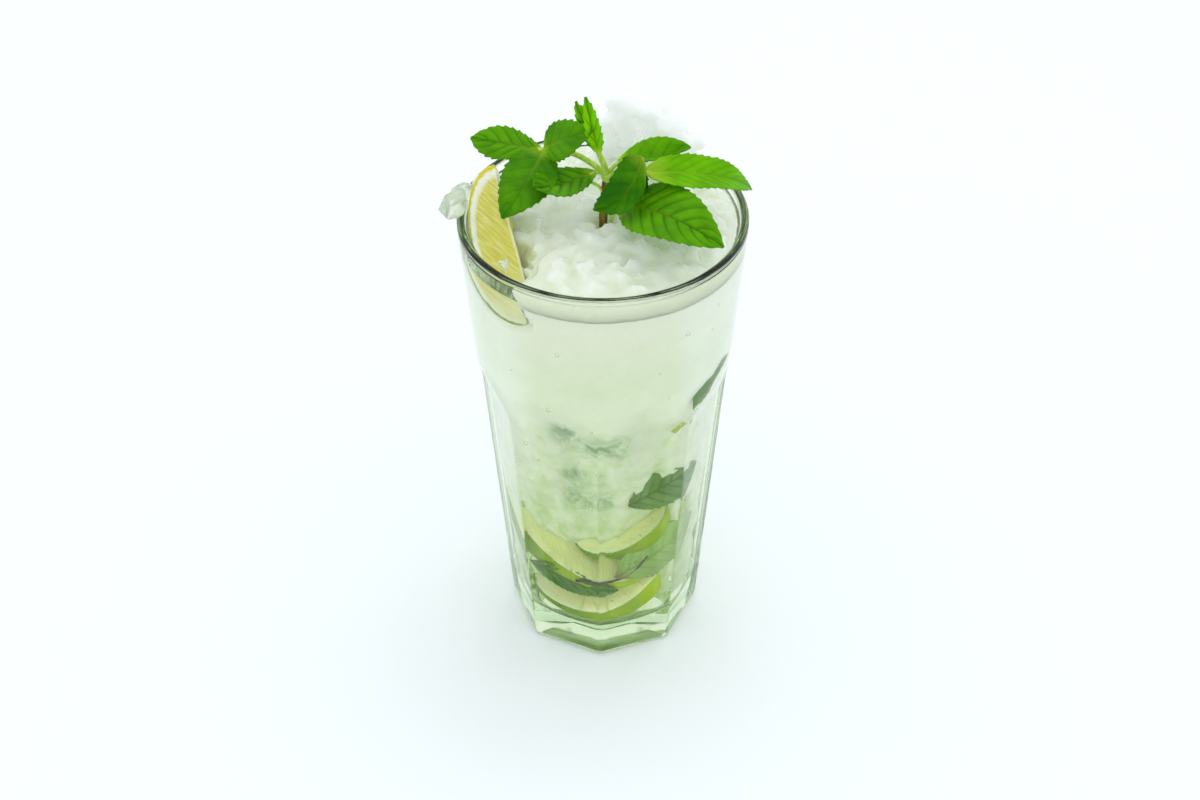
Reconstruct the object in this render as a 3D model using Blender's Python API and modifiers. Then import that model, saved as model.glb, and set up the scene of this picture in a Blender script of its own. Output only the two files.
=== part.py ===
"""A long lime and mint drink in an eight-sided tumbler, heaped with crushed ice.

Metres, +Z up. The origin is the centre of the tumbler's underside and the viewer looks along +Y.
Each sub-part is one object: glass, drink, crushed_ice, lime_wedge and mint_sprig.
"""

import math
import random

import bmesh
import bpy
from mathutils import Matrix, Vector

MM = 0.001
GAP = 0.3 * MM  # clearance left between pieces that touch
WELD = 0.002 * MM  # points closer than this are one point
BEYOND = 70 * MM  # further out than any piece

# tumbler: a turned cone whose lower two thirds are cut to eight flats
GLASS_HEIGHT = 156 * MM
BASE_RADIUS = 30.9 * MM
OUTER_TAPER = 0.0827  # radius gained per height
RIM_RADIUS = 43.5 * MM
LIP_RADIUS = 1.2 * MM
FLOOR_HEIGHT = 9.5 * MM
FLOOR_CORNER = 5 * MM
CAVITY_RADIUS_AT_0 = 23.5 * MM
CAVITY_TAPER_LOW = 0.1
SHOULDER_HEIGHT = 95 * MM
BASE_BEVEL = 1.2 * MM
FLOOR_STEPS = 4  # chords of the cavity's rounded corner
LIP_STEPS = 5  # chords of the rounded lip
FLATS = 8
FACET_TURN = math.radians(-3)  # a vertex of the octagon stands this far from +X
VERTEX_SHARE = 0.99  # the octagon's vertices, as a share of the cone's radius
FLARE_START = 94 * MM
ARCH_TOP = 107.8 * MM
FLARE_POWER = 1.62
FLARE_STEPS = 10
FLARE_STEP = 2.2 * MM
ROUND_STEPS = 48

# contents
DRINK_LEVEL = 147.5 * MM
ICE_EDGE_HEIGHT = 152 * MM
ICE_DOME_RISE = 5 * MM
MOUND_CENTRE = (12 * MM, 24 * MM, 154 * MM)
MOUND_RADII = (15 * MM, 9.5 * MM, 24 * MM)
CHUNK_SEED = 21
DOME_CHUNKS = 84
MOUND_CHUNKS = 24
CHUNK_SIZE = (3.8 * MM, 5.8 * MM)
CHUNK_RISE = (-1.5 * MM, 0.3 * MM)  # how far a lump's middle lies over the dome
CHUNK_REACH = 3.5 * MM  # the outermost lumps stand this far in from the wall
CORE_RINGS = (0, 0.25, 0.5, 0.7, 0.85, 0.95)  # rings of the dome under the lumps, as shares of its radius
STEM_ROOM = 20 * MM
DIP_CENTRE = (-30 * MM, -24 * MM, 157 * MM)  # bare place before the lime's cut face
DIP_RADII = (13 * MM, 9 * MM, 8.3 * MM)
CHUNK_POINTS = 11
# centre and size in mm: three lumps out over the left rim, then the peaks of the mound
PLACED_CHUNKS = (
    (-43.8, -2.5, 160.5, 6.2),
    (-40.5, 4.5, 158.5, 6.4),
    (-36, 11, 156.5, 6.4),
    (7, 24, 178, 7),
    (19.5, 24, 173, 7),
    (0, 24, 169.5, 6.5),
    (26, 24, 165, 6),
)
CHUNK_SPREAD = (1.15, 0.95, 0.8)
GOLDEN_ANGLE = math.pi * (3 - math.sqrt(5))

# lime: a lune of an ellipsoid, its long axis leaning along the left wall
LIME_HALF_LENGTH = 23.5 * MM
LIME_RADIUS = 16.5 * MM
LIME_WEDGE_ANGLE = math.radians(55)
LIME_CENTRE = (-25.8 * MM, -16.5 * MM, 157 * MM)
LIME_AXIS = (-0.25, 0.49, 0.84)  # towards the end that stands up
LIME_FACE_TURN = math.radians(38)  # how far the cut face dips towards the wall

# mint
LEAF_THICKNESS = 0.5 * MM
LEAF_STEPS = 8
LEAF_STRIPS = 4
LEAF_TIP_WIDTH = 0.35 * MM
LEAF_FULLNESS = 0.75  # 1 would leave the outline a plain sine
JOINT = (1.5, -3, 171)  # where the branches leave the stem, in mm
SIDE_JOINT = (-17, 2, 177)  # where the left branch splits into three leaves, in mm
BUD_JOINT = (-1, -6, 181)  # in mm

# base and tip in mm; the way the upper face looks; half width, bow and sideways bend in mm;
# fold of each half in degrees; widest point along the leaf
LEAVES = {
    "left_far": ((-17, 2, 177), (-38.9, 11.5, 175), (0, -0.4, 0.9), 5.5, -1, 0.5, 4, 0.6),
    "left_upper": ((-17, 2, 177), (-2.7, -7.7, 190), (-0.5, -0.6, 0.6), 5.6, 2, 0, 5, 0.44),
    "left_lower": ((-17, 2, 177), (-28.9, -19, 167.5), (-0.1, -0.5, 0.87), 7.8, 1.5, -1, 4, 0.4),
    "middle": ((-2, -3, 172.5), (-19.7, -17.3, 176.8), (-0.2, -0.35, 0.93), 6.2, -2.5, 1.5, 10, 0.5),
    "right_upper": ((4.5, -2.5, 176.5), (25.5, -1, 179.5), (-0.15, -0.05, 1), 6.8, -4.5, -3.5, 40, 0.55),
    "right_long": ((12, -8, 175.5), (44.3, 6.5, 159.5), (0.55, -0.35, 0.75), 5.6, 8, 2, 22, 0.32),
    "right_lower": ((6, -9, 164.5), (34.5, -26, 162), (0, -0.2, 0.98), 11, 6.5, 2.5, 10, 0.4),
    "centre": ((11.5, -10, 182), (-2.6, -13.5, 166.5), (-0.5, -0.6, 0.6), 6.6, 2, -5, 22, 0.33),
    "centre_small": ((11, -7, 177), (7.5, -9, 164), (0.6, -0.7, 0.2), 3, 1, 0, 10, 0.45),
    "bud_right": ((-1, -6, 181), (-4.8, -1, 197), (0.45, -0.8, 0.3), 2.4, 2.5, -1.5, 16, 0.44),
    "bud_left": ((-1, -6, 181), (-7.6, -1, 195.5), (-0.5, -0.8, 0.2), 2.5, 0, 0, 12, 0.5),
}

# centre line points in mm, with the radius at the start and at the end in mm
STEMS = {
    "main": ([(0, -4.2, 153.2), (0.4, -3.8, 162), JOINT], 1.25, 1.5),
    "bud": ([JOINT, (0.4, -4.6, 176), BUD_JOINT, (-2, -5.2, 184)], 0.95, 0.75),
    "left": ([JOINT, (-3.5, -1.5, 174.8), (-9, 0.2, 177), SIDE_JOINT, (-19, 1.8, 177.2)], 0.95, 0.7),
    "middle": ([JOINT, (-1, -2.8, 172.2), (-4, -4, 172.2)], 0.7, 0.5),
    "under_middle": ([(0.6, -3.5, 164.5), (-1.5, -4, 168.4), (-5.6, -5.4, 171.2)], 0.5, 0.45),
    "right_upper": ([JOINT, (3, -2.8, 174), (7, -2.6, 177)], 0.8, 0.5),
    "right_long": ([JOINT, (6, -5.4, 173.4), (12, -7.9, 175.4), (15, -7.2, 176)], 0.8, 0.5),
    "right_lower": ([(0.4, -3.8, 160), (3, -6, 162.6), (6, -9, 164.7), (9, -11, 166)], 0.7, 0.5),
    "centre": ([JOINT, (7, -6.5, 176.5), (11.3, -9.8, 181.4), (9.4, -10.8, 180.6)], 0.7, 0.5),
    "centre_small": ([JOINT, (6, -5, 175), (11, -7, 176.6), (10.6, -7.4, 174.6)], 0.6, 0.45),
    "bud_left": ([BUD_JOINT, (-2.4, -5.6, 184)], 0.6, 0.4),
}
JOINT_RADIUS = 2 * MM


def clear_scene():
    """Remove whatever the scene holds."""
    for obj in list(bpy.data.objects):
        bpy.data.objects.remove(obj, do_unlink=True)


def collection(name):
    """A new collection in the scene."""
    made = bpy.data.collections.new(name)
    bpy.context.scene.collection.children.link(made)
    return made


def material(name, colour, roughness, transmission=0.0, ior=1.45):
    """A Principled material with the piece's own colour and finish."""
    made = bpy.data.materials.new(name)
    made.use_nodes = True
    shader = made.node_tree.nodes["Principled BSDF"]
    shader.inputs["Base Color"].default_value = (*colour, 1)
    shader.inputs["Roughness"].default_value = roughness
    shader.inputs["Metallic"].default_value = 0
    shader.inputs["Transmission Weight"].default_value = transmission
    shader.inputs["IOR"].default_value = ior
    return made


def object_of(name, mesh, target):
    """An object holding the mesh, in the target collection."""
    made = bpy.data.objects.new(name, mesh)
    target.objects.link(made)
    return made


def as_cutter(obj):
    """Keep a helper out of the render and out of the way in the viewport."""
    obj.hide_render = True
    obj.display_type = "WIRE"
    return obj


def mesh_of(work, name):
    """The mesh of a bmesh, with its faces turned outwards."""
    bmesh.ops.recalc_face_normals(work, faces=work.faces)
    mesh = bpy.data.meshes.new(name)
    work.to_mesh(mesh)
    work.free()
    return mesh


def turned(name, profile, target, steps=ROUND_STEPS, turn=FACET_TURN):
    """A solid of revolution; the profile of (radius, height) ends on the axis at both ends."""
    work = bmesh.new()
    points = [work.verts.new((radius, 0, height)) for radius, height in profile]
    for start, end in zip(points, points[1:]):
        work.edges.new((start, end))
    mesh = bpy.data.meshes.new(name)
    work.to_mesh(mesh)
    work.free()
    made = object_of(name, mesh, target)
    screw = made.modifiers.new("turn", "SCREW")
    screw.axis = "Z"
    screw.steps = steps
    screw.render_steps = steps
    screw.use_merge_vertices = True
    screw.merge_threshold = 5 * WELD
    made.rotation_euler.z = turn
    return made


def boolean(obj, other, operation, solver="EXACT"):
    """Join, cut or keep what is common with another object or a collection of them."""
    step = obj.modifiers.new(operation.lower(), "BOOLEAN")
    step.operation = operation
    step.solver = solver
    if isinstance(other, bpy.types.Collection):
        step.operand_type = "COLLECTION"
        step.collection = other
    else:
        step.object = other
    return step


def applied(obj):
    """Replace the object's mesh with what its modifiers make of it, welded."""
    bpy.context.view_layer.update()
    graph = bpy.context.evaluated_depsgraph_get()
    mesh = bpy.data.meshes.new_from_object(obj.evaluated_get(graph))
    obj.modifiers.clear()
    obj.data = mesh
    work = bmesh.new()
    work.from_mesh(mesh)
    bmesh.ops.remove_doubles(work, verts=work.verts, dist=WELD)
    bmesh.ops.dissolve_degenerate(work, edges=work.edges, dist=WELD)
    work.to_mesh(mesh)
    work.free()
    return obj


def islands(work):
    """The connected groups of faces of a bmesh."""
    left = set(work.faces)
    groups = []
    while left:
        reached = [left.pop()]
        for face in reached:
            for edge in face.edges:
                for other in edge.link_faces:
                    if other in left:
                        left.remove(other)
                        reached.append(other)
        groups.append(reached)
    return groups


def keep_largest(obj):
    """Drop loose scraps and sealed hollows: only the largest closed surface stays."""
    work = bmesh.new()
    work.from_mesh(obj.data)
    groups = sorted(islands(work), key=lambda faces: sum(face.calc_area() for face in faces))
    for faces in groups[:-1]:
        bmesh.ops.delete(work, geom=faces, context="FACES")
    loose = [vert for vert in work.verts if not vert.link_faces]
    bmesh.ops.delete(work, geom=loose, context="VERTS")
    work.to_mesh(obj.data)
    work.free()


def drop(group):
    """Remove a collection of helpers with its objects."""
    for obj in list(group.objects):
        bpy.data.objects.remove(obj, do_unlink=True)
    bpy.data.collections.remove(group)


def finish(obj, surface, sharp_degrees=35):
    """Give the piece its material and smooth shading."""
    obj.data.materials.clear()
    obj.data.materials.append(surface)
    obj.data.shade_smooth()
    obj.data.set_sharp_from_angle(angle=math.radians(sharp_degrees))


def outer_radius(height):
    """Radius of the tumbler's outer cone."""
    return min(BASE_RADIUS + OUTER_TAPER * height, RIM_RADIUS)


def cavity_radius(height):
    """Radius of the tumbler's round inside."""
    rim_inside = RIM_RADIUS - 2 * LIP_RADIUS
    at_shoulder = CAVITY_RADIUS_AT_0 + CAVITY_TAPER_LOW * SHOULDER_HEIGHT
    if height < SHOULDER_HEIGHT:
        return CAVITY_RADIUS_AT_0 + CAVITY_TAPER_LOW * height
    share = (height - SHOULDER_HEIGHT) / (GLASS_HEIGHT - LIP_RADIUS - SHOULDER_HEIGHT)
    return at_shoulder + (rim_inside - at_shoulder) * min(share, 1)


def octagon_share(height):
    """Radius of the octagon's vertices as a share of the cone's, flaring out above the flats."""
    if height < FLARE_START:
        return VERTEX_SHARE
    across_flats = 1 / math.cos(math.pi / FLATS)
    rise = (height - FLARE_START) / (ARCH_TOP - FLARE_START)
    return VERTEX_SHARE + (across_flats - VERTEX_SHARE) * rise**FLARE_POWER


def floor_profile(gap):
    """The cavity's floor and rounded corner, inset by a gap, from the axis outwards."""
    edge = cavity_radius(FLOOR_HEIGHT + FLOOR_CORNER) - FLOOR_CORNER
    points = [(0, FLOOR_HEIGHT + gap)]
    reach = FLOOR_CORNER - gap
    for step in range(FLOOR_STEPS + 1):
        angle = math.pi / 2 * step / FLOOR_STEPS
        radius = edge + reach * math.sin(angle)
        height = FLOOR_HEIGHT + FLOOR_CORNER - reach * math.cos(angle)
        points.append((radius, height))
    return points


def glass(parts, cutters):
    """The tumbler: a turned body, met with an eight-sided one."""
    profile = floor_profile(0)
    profile += [(cavity_radius(h), h) for h in (SHOULDER_HEIGHT, GLASS_HEIGHT - LIP_RADIUS)]
    lip_centre = RIM_RADIUS - LIP_RADIUS
    for step in range(1, LIP_STEPS + 1):
        angle = math.pi * (1 - step / LIP_STEPS)
        radius = lip_centre + LIP_RADIUS * math.cos(angle)
        profile.append((radius, GLASS_HEIGHT - LIP_RADIUS + LIP_RADIUS * math.sin(angle)))
    cone_top = (RIM_RADIUS - BASE_RADIUS) / OUTER_TAPER
    profile += [(outer_radius(h), h) for h in (cone_top, ARCH_TOP, FLARE_START, BASE_BEVEL)]
    profile += [(outer_radius(0) - BASE_BEVEL, 0), (0, 0)]
    body = turned("glass", profile, parts)

    over_rim = GLASS_HEIGHT + RIM_RADIUS
    flare = [ARCH_TOP + (3 - step) * FLARE_STEP for step in range(FLARE_STEPS)]
    prism = [(0, over_rim), (BEYOND, over_rim)]
    prism += [(octagon_share(h) * outer_radius(h), h) for h in flare if h > FLARE_START]
    prism += [(VERTEX_SHARE * outer_radius(h), h) for h in (FLARE_START, BASE_BEVEL)]
    prism += [(VERTEX_SHARE * outer_radius(0) - BASE_BEVEL, 0)]
    prism += [(VERTEX_SHARE * outer_radius(0) - 2 * BASE_BEVEL, -BASE_BEVEL), (0, -BASE_BEVEL)]
    octagon = as_cutter(turned("octagon", prism, cutters, steps=FLATS))
    boolean(body, octagon, "INTERSECT")
    clear = material("clear_glass", (0.93, 0.97, 0.95), roughness=0.02, transmission=1, ior=1.5)
    finish(applied(body), clear, sharp_degrees=20)
    return body


def lime_frame():
    """Axes of the lime: X towards the rind in the middle of the seen cut face, Z along the fruit."""
    along = Vector(LIME_AXIS).normalized()
    outward = Vector((-1, 0, 0))
    outward = (outward - outward.dot(along) * along).normalized()
    facing = along.cross(outward)
    facing = -facing if facing.z < 0 else facing
    turned_out = outward * math.cos(LIME_FACE_TURN) - facing * math.sin(LIME_FACE_TURN)
    side = along.cross(turned_out)
    matrix = Matrix((turned_out, side, along)).transposed().to_4x4()
    matrix.translation = Vector(LIME_CENTRE)
    return matrix, (1 if side.dot(facing) > 0 else -1)


def lime_shape(name, target, grow=0.0):
    """The wedge, or a copy of it that is larger by `grow` on every side."""
    frame, upper = lime_frame()
    work = bmesh.new()
    bmesh.ops.create_uvsphere(work, u_segments=28, v_segments=14, radius=1)
    size = (LIME_RADIUS + grow, LIME_RADIUS + grow, LIME_HALF_LENGTH + grow)
    bmesh.ops.scale(work, vec=size, verts=work.verts)
    seen_face = Vector((0, upper, 0))
    turn = Matrix.Rotation(-upper * LIME_WEDGE_ANGLE, 3, "Z")
    hidden_face = -(turn @ seen_face)
    for normal in (seen_face, hidden_face):
        every = list(work.verts) + list(work.edges) + list(work.faces)
        bmesh.ops.bisect_plane(
            work, geom=every, plane_co=normal * grow, plane_no=normal, clear_outer=True
        )
        bmesh.ops.holes_fill(work, edges=[edge for edge in work.edges if edge.is_boundary])
    bmesh.ops.transform(work, matrix=frame, verts=work.verts)
    bmesh.ops.triangulate(work, faces=work.faces)
    return object_of(name, mesh_of(work, name), target)


def cylinder(name, foot, radius, height, target):
    """An upright cylinder that stands on the point `foot` and serves as a cutter."""
    work = bmesh.new()
    bmesh.ops.create_cone(
        work, cap_ends=True, segments=16, radius1=radius, radius2=radius, depth=height,
        matrix=Matrix.Translation(foot + Vector((0, 0, height / 2))),
    )
    return as_cutter(object_of(name, mesh_of(work, name), target))


def ellipsoid(name, centre, radii, target):
    """A ball stretched to three radii, kept as a helper."""
    work = bmesh.new()
    bmesh.ops.create_uvsphere(work, u_segments=16, v_segments=10, radius=1)
    bmesh.ops.scale(work, vec=radii, verts=work.verts)
    bmesh.ops.translate(work, vec=centre, verts=work.verts)
    return as_cutter(object_of(name, mesh_of(work, name), target))


def rim_guard(cutters):
    """Everything outside the cavity and below the top of the rim, with its clearance."""
    low = LIME_CENTRE[2] - LIME_HALF_LENGTH
    top = GLASS_HEIGHT + GAP
    inner = [(cavity_radius(h) - GAP, h) for h in (low, GLASS_HEIGHT - LIP_RADIUS)]
    ring = inner + [(RIM_RADIUS - 2 * LIP_RADIUS, top), (BEYOND, top), (BEYOND, low)]
    work = bmesh.new()
    loop = [work.verts.new((radius, 0, height)) for radius, height in ring]
    for start, end in zip(loop, loop[1:] + loop[:1]):
        work.edges.new((start, end))
    bmesh.ops.spin(
        work, geom=list(work.verts) + list(work.edges), cent=(0, 0, 0), axis=(0, 0, 1),
        angle=2 * math.pi, steps=ROUND_STEPS, use_merge=True,
    )
    guard = as_cutter(object_of("rim_guard", mesh_of(work, "rim_guard"), cutters))
    guard.rotation_euler.z = FACET_TURN
    return guard


def drink(parts, lime_room):
    """The drink up to its level, cut round the lime."""
    profile = floor_profile(GAP)
    profile += [(cavity_radius(h) - GAP, h) for h in (SHOULDER_HEIGHT, DRINK_LEVEL)]
    profile += [(0, DRINK_LEVEL)]
    body = turned("drink", profile[::-1], parts)
    boolean(body, lime_room, "DIFFERENCE")
    applied(body)
    keep_largest(body)
    finish(body, material("lime_drink", (0.72, 0.8, 0.52), roughness=0.1, transmission=0.6, ior=1.34))
    return body


def lime_wedge(parts, guard):
    """The wedge on the rim, its rind pressed flat where it meets the wall."""
    wedge = lime_shape("lime_wedge", parts)
    boolean(wedge, guard, "DIFFERENCE")
    applied(wedge)
    keep_largest(wedge)
    finish(wedge, material("lime", (0.62, 0.66, 0.16), 0.4))
    return wedge


def heap_height(x, y):
    """Top of the crushed ice, without its mound, above a place in plan."""
    share = min(math.hypot(x, y) / cavity_radius(ICE_EDGE_HEIGHT), 1)
    return ICE_EDGE_HEIGHT + ICE_DOME_RISE * (1 - share**2)


def chunk_places():
    """Centre and size of each lump that shows: over the dome, over the mound and on the left rim."""
    rng = random.Random(CHUNK_SEED)
    places = []
    dip = Vector(DIP_CENTRE).xy
    reach = cavity_radius(ICE_EDGE_HEIGHT) - CHUNK_REACH
    for index in range(DOME_CHUNKS):
        radius = reach * math.sqrt((index + 0.5) / DOME_CHUNKS)
        angle = index * GOLDEN_ANGLE
        x, y = radius * math.cos(angle), radius * math.sin(angle)
        height = heap_height(x, y) + rng.uniform(*CHUNK_RISE)
        size = rng.uniform(*CHUNK_SIZE)
        if (Vector((x, y)) - dip).length > DIP_RADII[0]:
            places.append((Vector((x, y, height)), size))
    for index in range(MOUND_CHUNKS):
        rise = (index + 0.5) / MOUND_CHUNKS
        angle = index * GOLDEN_ANGLE
        spread = math.sqrt(1 - rise**2)
        offset = Vector((spread * math.cos(angle), spread * math.sin(angle), rise))
        scaled = Vector([a * b for a, b in zip(offset, MOUND_RADII)])
        places.append((Vector(MOUND_CENTRE) + scaled, rng.uniform(*CHUNK_SIZE)))
    for x, y, z, size in PLACED_CHUNKS:
        places.append((Vector((x, y, z)) * MM, size * MM))
    return places


def chunk(name, centre, size, rng, target):
    """One broken lump: the hull of a few points on a flattened ball."""
    work = bmesh.new()
    for _ in range(CHUNK_POINTS):
        point = Vector([rng.gauss(0, 1) for _ in range(3)]).normalized()
        work.verts.new(point)
    bmesh.ops.convex_hull(work, input=work.verts)
    loose = [vert for vert in work.verts if not vert.link_faces]
    bmesh.ops.delete(work, geom=loose, context="VERTS")
    spread = Matrix.Diagonal((*CHUNK_SPREAD, 1))
    turn = Matrix.Rotation(rng.uniform(0, math.tau), 4, Vector((rng.random(), rng.random(), 1)))
    move = Matrix.Translation(centre)
    bmesh.ops.transform(work, matrix=move @ turn @ spread @ Matrix.Scale(size, 4), verts=work.verts)
    return as_cutter(object_of(name, mesh_of(work, name), target))


def crushed_ice(parts, cutters, guard, lime_room, leaf_points):
    """The heap of crushed ice above the drink: a core with the lumps that show fused on."""
    low = DRINK_LEVEL + GAP
    wall = cavity_radius(low) - GAP
    profile = [(share * wall, heap_height(share * wall, 0)) for share in CORE_RINGS]
    profile += [(cavity_radius(ICE_EDGE_HEIGHT) - GAP, ICE_EDGE_HEIGHT - MM), (wall, low), (0, low)]
    heap = turned("crushed_ice", profile, parts)

    lumps = collection("lumps")
    ellipsoid("mound", MOUND_CENTRE, MOUND_RADII, lumps)
    rng = random.Random(CHUNK_SEED)
    for index, (centre, size) in enumerate(chunk_places()):
        while any((point - centre).length < CHUNK_SPREAD[0] * size + MM for point in leaf_points):
            centre = centre - Vector((0, 0, MM))
        chunk(f"lump_{index:03d}", centre, size, rng, lumps)
    boolean(heap, lumps, "UNION")

    foot = Vector(STEMS["main"][0][0]) * MM - Vector((0, 0, GAP))
    stem_room = cylinder("stem_room", foot, STEMS["main"][1] * MM + 2 * GAP, STEM_ROOM, cutters)
    below = Vector((0, 0, low - RIM_RADIUS))
    drink_room = cylinder("drink_room", below, BEYOND, RIM_RADIUS, cutters)
    dip = ellipsoid("dip", DIP_CENTRE, DIP_RADII, cutters)
    for cutter in (drink_room, guard, lime_room, stem_room, dip):
        boolean(heap, cutter, "DIFFERENCE")
    applied(heap)
    keep_largest(heap)
    drop(lumps)
    ice = material("ice", (0.9, 0.95, 0.93), roughness=0.15, transmission=0.7, ior=1.31)
    finish(heap, ice, sharp_degrees=10)
    return heap


def leaf_rows(base, tip, face, half_width, bow, bend, fold, widest):
    """Rows of points across a leaf, from its base to its tip, in metres."""
    base, tip = Vector(base) * MM, Vector(tip) * MM
    chord = (tip - base).normalized()
    normal = Vector(face) - Vector(face).dot(chord) * chord
    normal.normalize()
    side = chord.cross(normal)
    skew = math.log(0.5) / math.log(widest)
    rows = []
    for step in range(LEAF_STEPS + 1):
        along = step / LEAF_STEPS
        arch = 4 * along * (1 - along)
        middle = base.lerp(tip, along) + normal * (arch * bow * MM) + side * (arch * bend * MM)
        width = half_width * MM * max(math.sin(math.pi * along**skew), 0) ** LEAF_FULLNESS
        width = max(width, LEAF_TIP_WIDTH)
        row = []
        for strip in range(LEAF_STRIPS + 1):
            across = 2 * strip / LEAF_STRIPS - 1
            out = side * (across * width * math.cos(math.radians(fold)))
            lift = normal * (abs(across) * width * math.sin(math.radians(fold)))
            row.append(middle + out + lift)
        rows.append(row)
    return rows


def leaf(name, shape, target):
    """A thin folded leaf, triangulated before it is thickened so that both faces match."""
    work = bmesh.new()
    rows = [[work.verts.new(point) for point in row] for row in leaf_rows(*shape)]
    for near, far in zip(rows, rows[1:]):
        for index in range(LEAF_STRIPS):
            work.faces.new((near[index], near[index + 1], far[index + 1], far[index]))
    bmesh.ops.triangulate(work, faces=work.faces)
    made = object_of(name, mesh_of(work, name), target)
    thick = made.modifiers.new("thickness", "SOLIDIFY")
    thick.thickness = LEAF_THICKNESS
    thick.offset = 0
    applied(made)
    return as_cutter(made)


def stem(name, points, start_radius, end_radius, target):
    """A tapering round stem through the points, closed at both ends."""
    curve = bpy.data.curves.new(name, "CURVE")
    curve.dimensions = "3D"
    curve.bevel_depth = MM
    curve.bevel_resolution = 2
    curve.use_fill_caps = True
    spline = curve.splines.new("POLY")
    spline.points.add(len(points) - 1)
    for index, point in enumerate(points):
        share = index / (len(points) - 1)
        spline.points[index].co = (*(Vector(point) * MM), 1)
        spline.points[index].radius = start_radius + (end_radius - start_radius) * share
    made = object_of(name + "_line", curve, target)
    bpy.context.view_layer.update()
    graph = bpy.context.evaluated_depsgraph_get()
    mesh = bpy.data.meshes.new_from_object(made.evaluated_get(graph))
    bpy.data.objects.remove(made, do_unlink=True)
    work = bmesh.new()
    work.from_mesh(mesh)
    bmesh.ops.remove_doubles(work, verts=work.verts, dist=WELD)
    return as_cutter(object_of(name, mesh_of(work, name), target))


def mint_sprig(parts):
    """The sprig: a knuckle with every stem and leaf fused on."""
    pieces = collection("sprig_pieces")
    for name, shape in LEAVES.items():
        leaf("leaf_" + name, shape, pieces)
    for name, (points, start_radius, end_radius) in STEMS.items():
        stem("stem_" + name, points, start_radius, end_radius, pieces)
    work = bmesh.new()
    bmesh.ops.create_icosphere(work, subdivisions=2, radius=JOINT_RADIUS)
    bmesh.ops.translate(work, vec=Vector(JOINT) * MM, verts=work.verts)
    sprig = object_of("mint_sprig", mesh_of(work, "mint_sprig"), parts)
    boolean(sprig, pieces, "UNION", "MANIFOLD")
    applied(sprig)
    keep_largest(sprig)
    drop(pieces)
    finish(sprig, material("mint", (0.08, 0.3, 0.02), 0.45))
    return sprig


def main():
    """Build the five sub-parts."""
    clear_scene()
    parts = collection("mint_lime_drink")
    cutters = collection("cutters")
    glass(parts, cutters)
    guard = rim_guard(cutters)
    lime_room = as_cutter(lime_shape("lime_room", cutters, GAP))
    drink(parts, lime_room)
    lime_wedge(parts, guard)
    mint_sprig(parts)
    leaf_points = [point for shape in LEAVES.values() for row in leaf_rows(*shape) for point in row]
    crushed_ice(parts, cutters, guard, lime_room, leaf_points)


main()
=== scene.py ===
"""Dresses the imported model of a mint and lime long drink: tumbler, drink, crushed ice, lime and mint.

Metres, +Z up, the origin under the middle of the tumbler, and the viewer looks along +Y.
"""

import math
import random

import bmesh
import bpy
from bpy.props import FloatProperty, FloatVectorProperty, IntProperty, PointerProperty
from mathutils import Matrix, Vector, noise


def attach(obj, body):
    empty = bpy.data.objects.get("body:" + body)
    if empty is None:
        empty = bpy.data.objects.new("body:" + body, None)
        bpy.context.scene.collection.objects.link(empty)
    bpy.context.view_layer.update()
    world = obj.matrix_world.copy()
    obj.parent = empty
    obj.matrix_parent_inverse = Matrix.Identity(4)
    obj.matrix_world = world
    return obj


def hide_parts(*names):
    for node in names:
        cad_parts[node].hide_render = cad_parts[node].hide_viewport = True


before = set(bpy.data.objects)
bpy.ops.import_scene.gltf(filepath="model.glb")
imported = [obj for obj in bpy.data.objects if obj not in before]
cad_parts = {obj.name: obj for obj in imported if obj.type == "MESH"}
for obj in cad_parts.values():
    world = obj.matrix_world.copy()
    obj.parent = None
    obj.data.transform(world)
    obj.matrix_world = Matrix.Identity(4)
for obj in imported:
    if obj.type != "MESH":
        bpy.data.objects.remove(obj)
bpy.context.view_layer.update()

bl_info = {
    "name": "Mint and lime long drink",
    "version": (1, 0, 0),
    "blender": (4, 5, 0),
    "location": "View3D > Sidebar > Long drink",
    "description": "Builds the glass, ice, lime and mint of a long drink over its packed model",
    "category": "Object",
}

MM = 0.001
GAP = 0.3 * MM
LIME_GAP = 1.5 * MM

# tumbler
GLASS_HEIGHT = 156 * MM
BASE_RADIUS = 30.9 * MM
OUTER_TAPER = 0.0827
RIM_RADIUS = 43.5 * MM
LIP_RADIUS = 1.2 * MM
FLOOR_HEIGHT = 9.5 * MM
FLOOR_CORNER = 5 * MM
CAVITY_RADIUS_AT_0 = 23.5 * MM
CAVITY_TAPER_LOW = 0.1
SHOULDER_HEIGHT = 95 * MM
BASE_BEVEL = 1.2 * MM
FLATS = 8
FACET_TURN = math.radians(-3)
VERTEX_SHARE = 0.99
FLARE_START = 94 * MM
ARCH_TOP = 107.8 * MM
FLARE_POWER = 1.62
SECTOR = math.tau / FLATS
# the underside's hollow: share of the base's radius, and rise in mm
UNDERSIDE = ((0.93, 0), (0.87, 0.15), (0.8, 0.5), (0.6, 0.9), (0.3, 1.1), (0, 1.2))
STEPS_PER_FLAT = 20
# heights in mm at which the wall is given its shape, close together where the flats end in arches
INSIDE_HEIGHTS = (40, 70, 90, 95, 100, 120, 140)
ARCH_FIRST, ARCH_STEP, ARCH_STEPS = 112, 0.8, 30
ABOVE_ARCHES = (154.8, 152, 146, 138, 130, 122, 116)
BELOW_ARCHES = (86, 80, 72, 64, 56, 48, 40, 32, 24, 16, 10, 6, 3)

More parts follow.
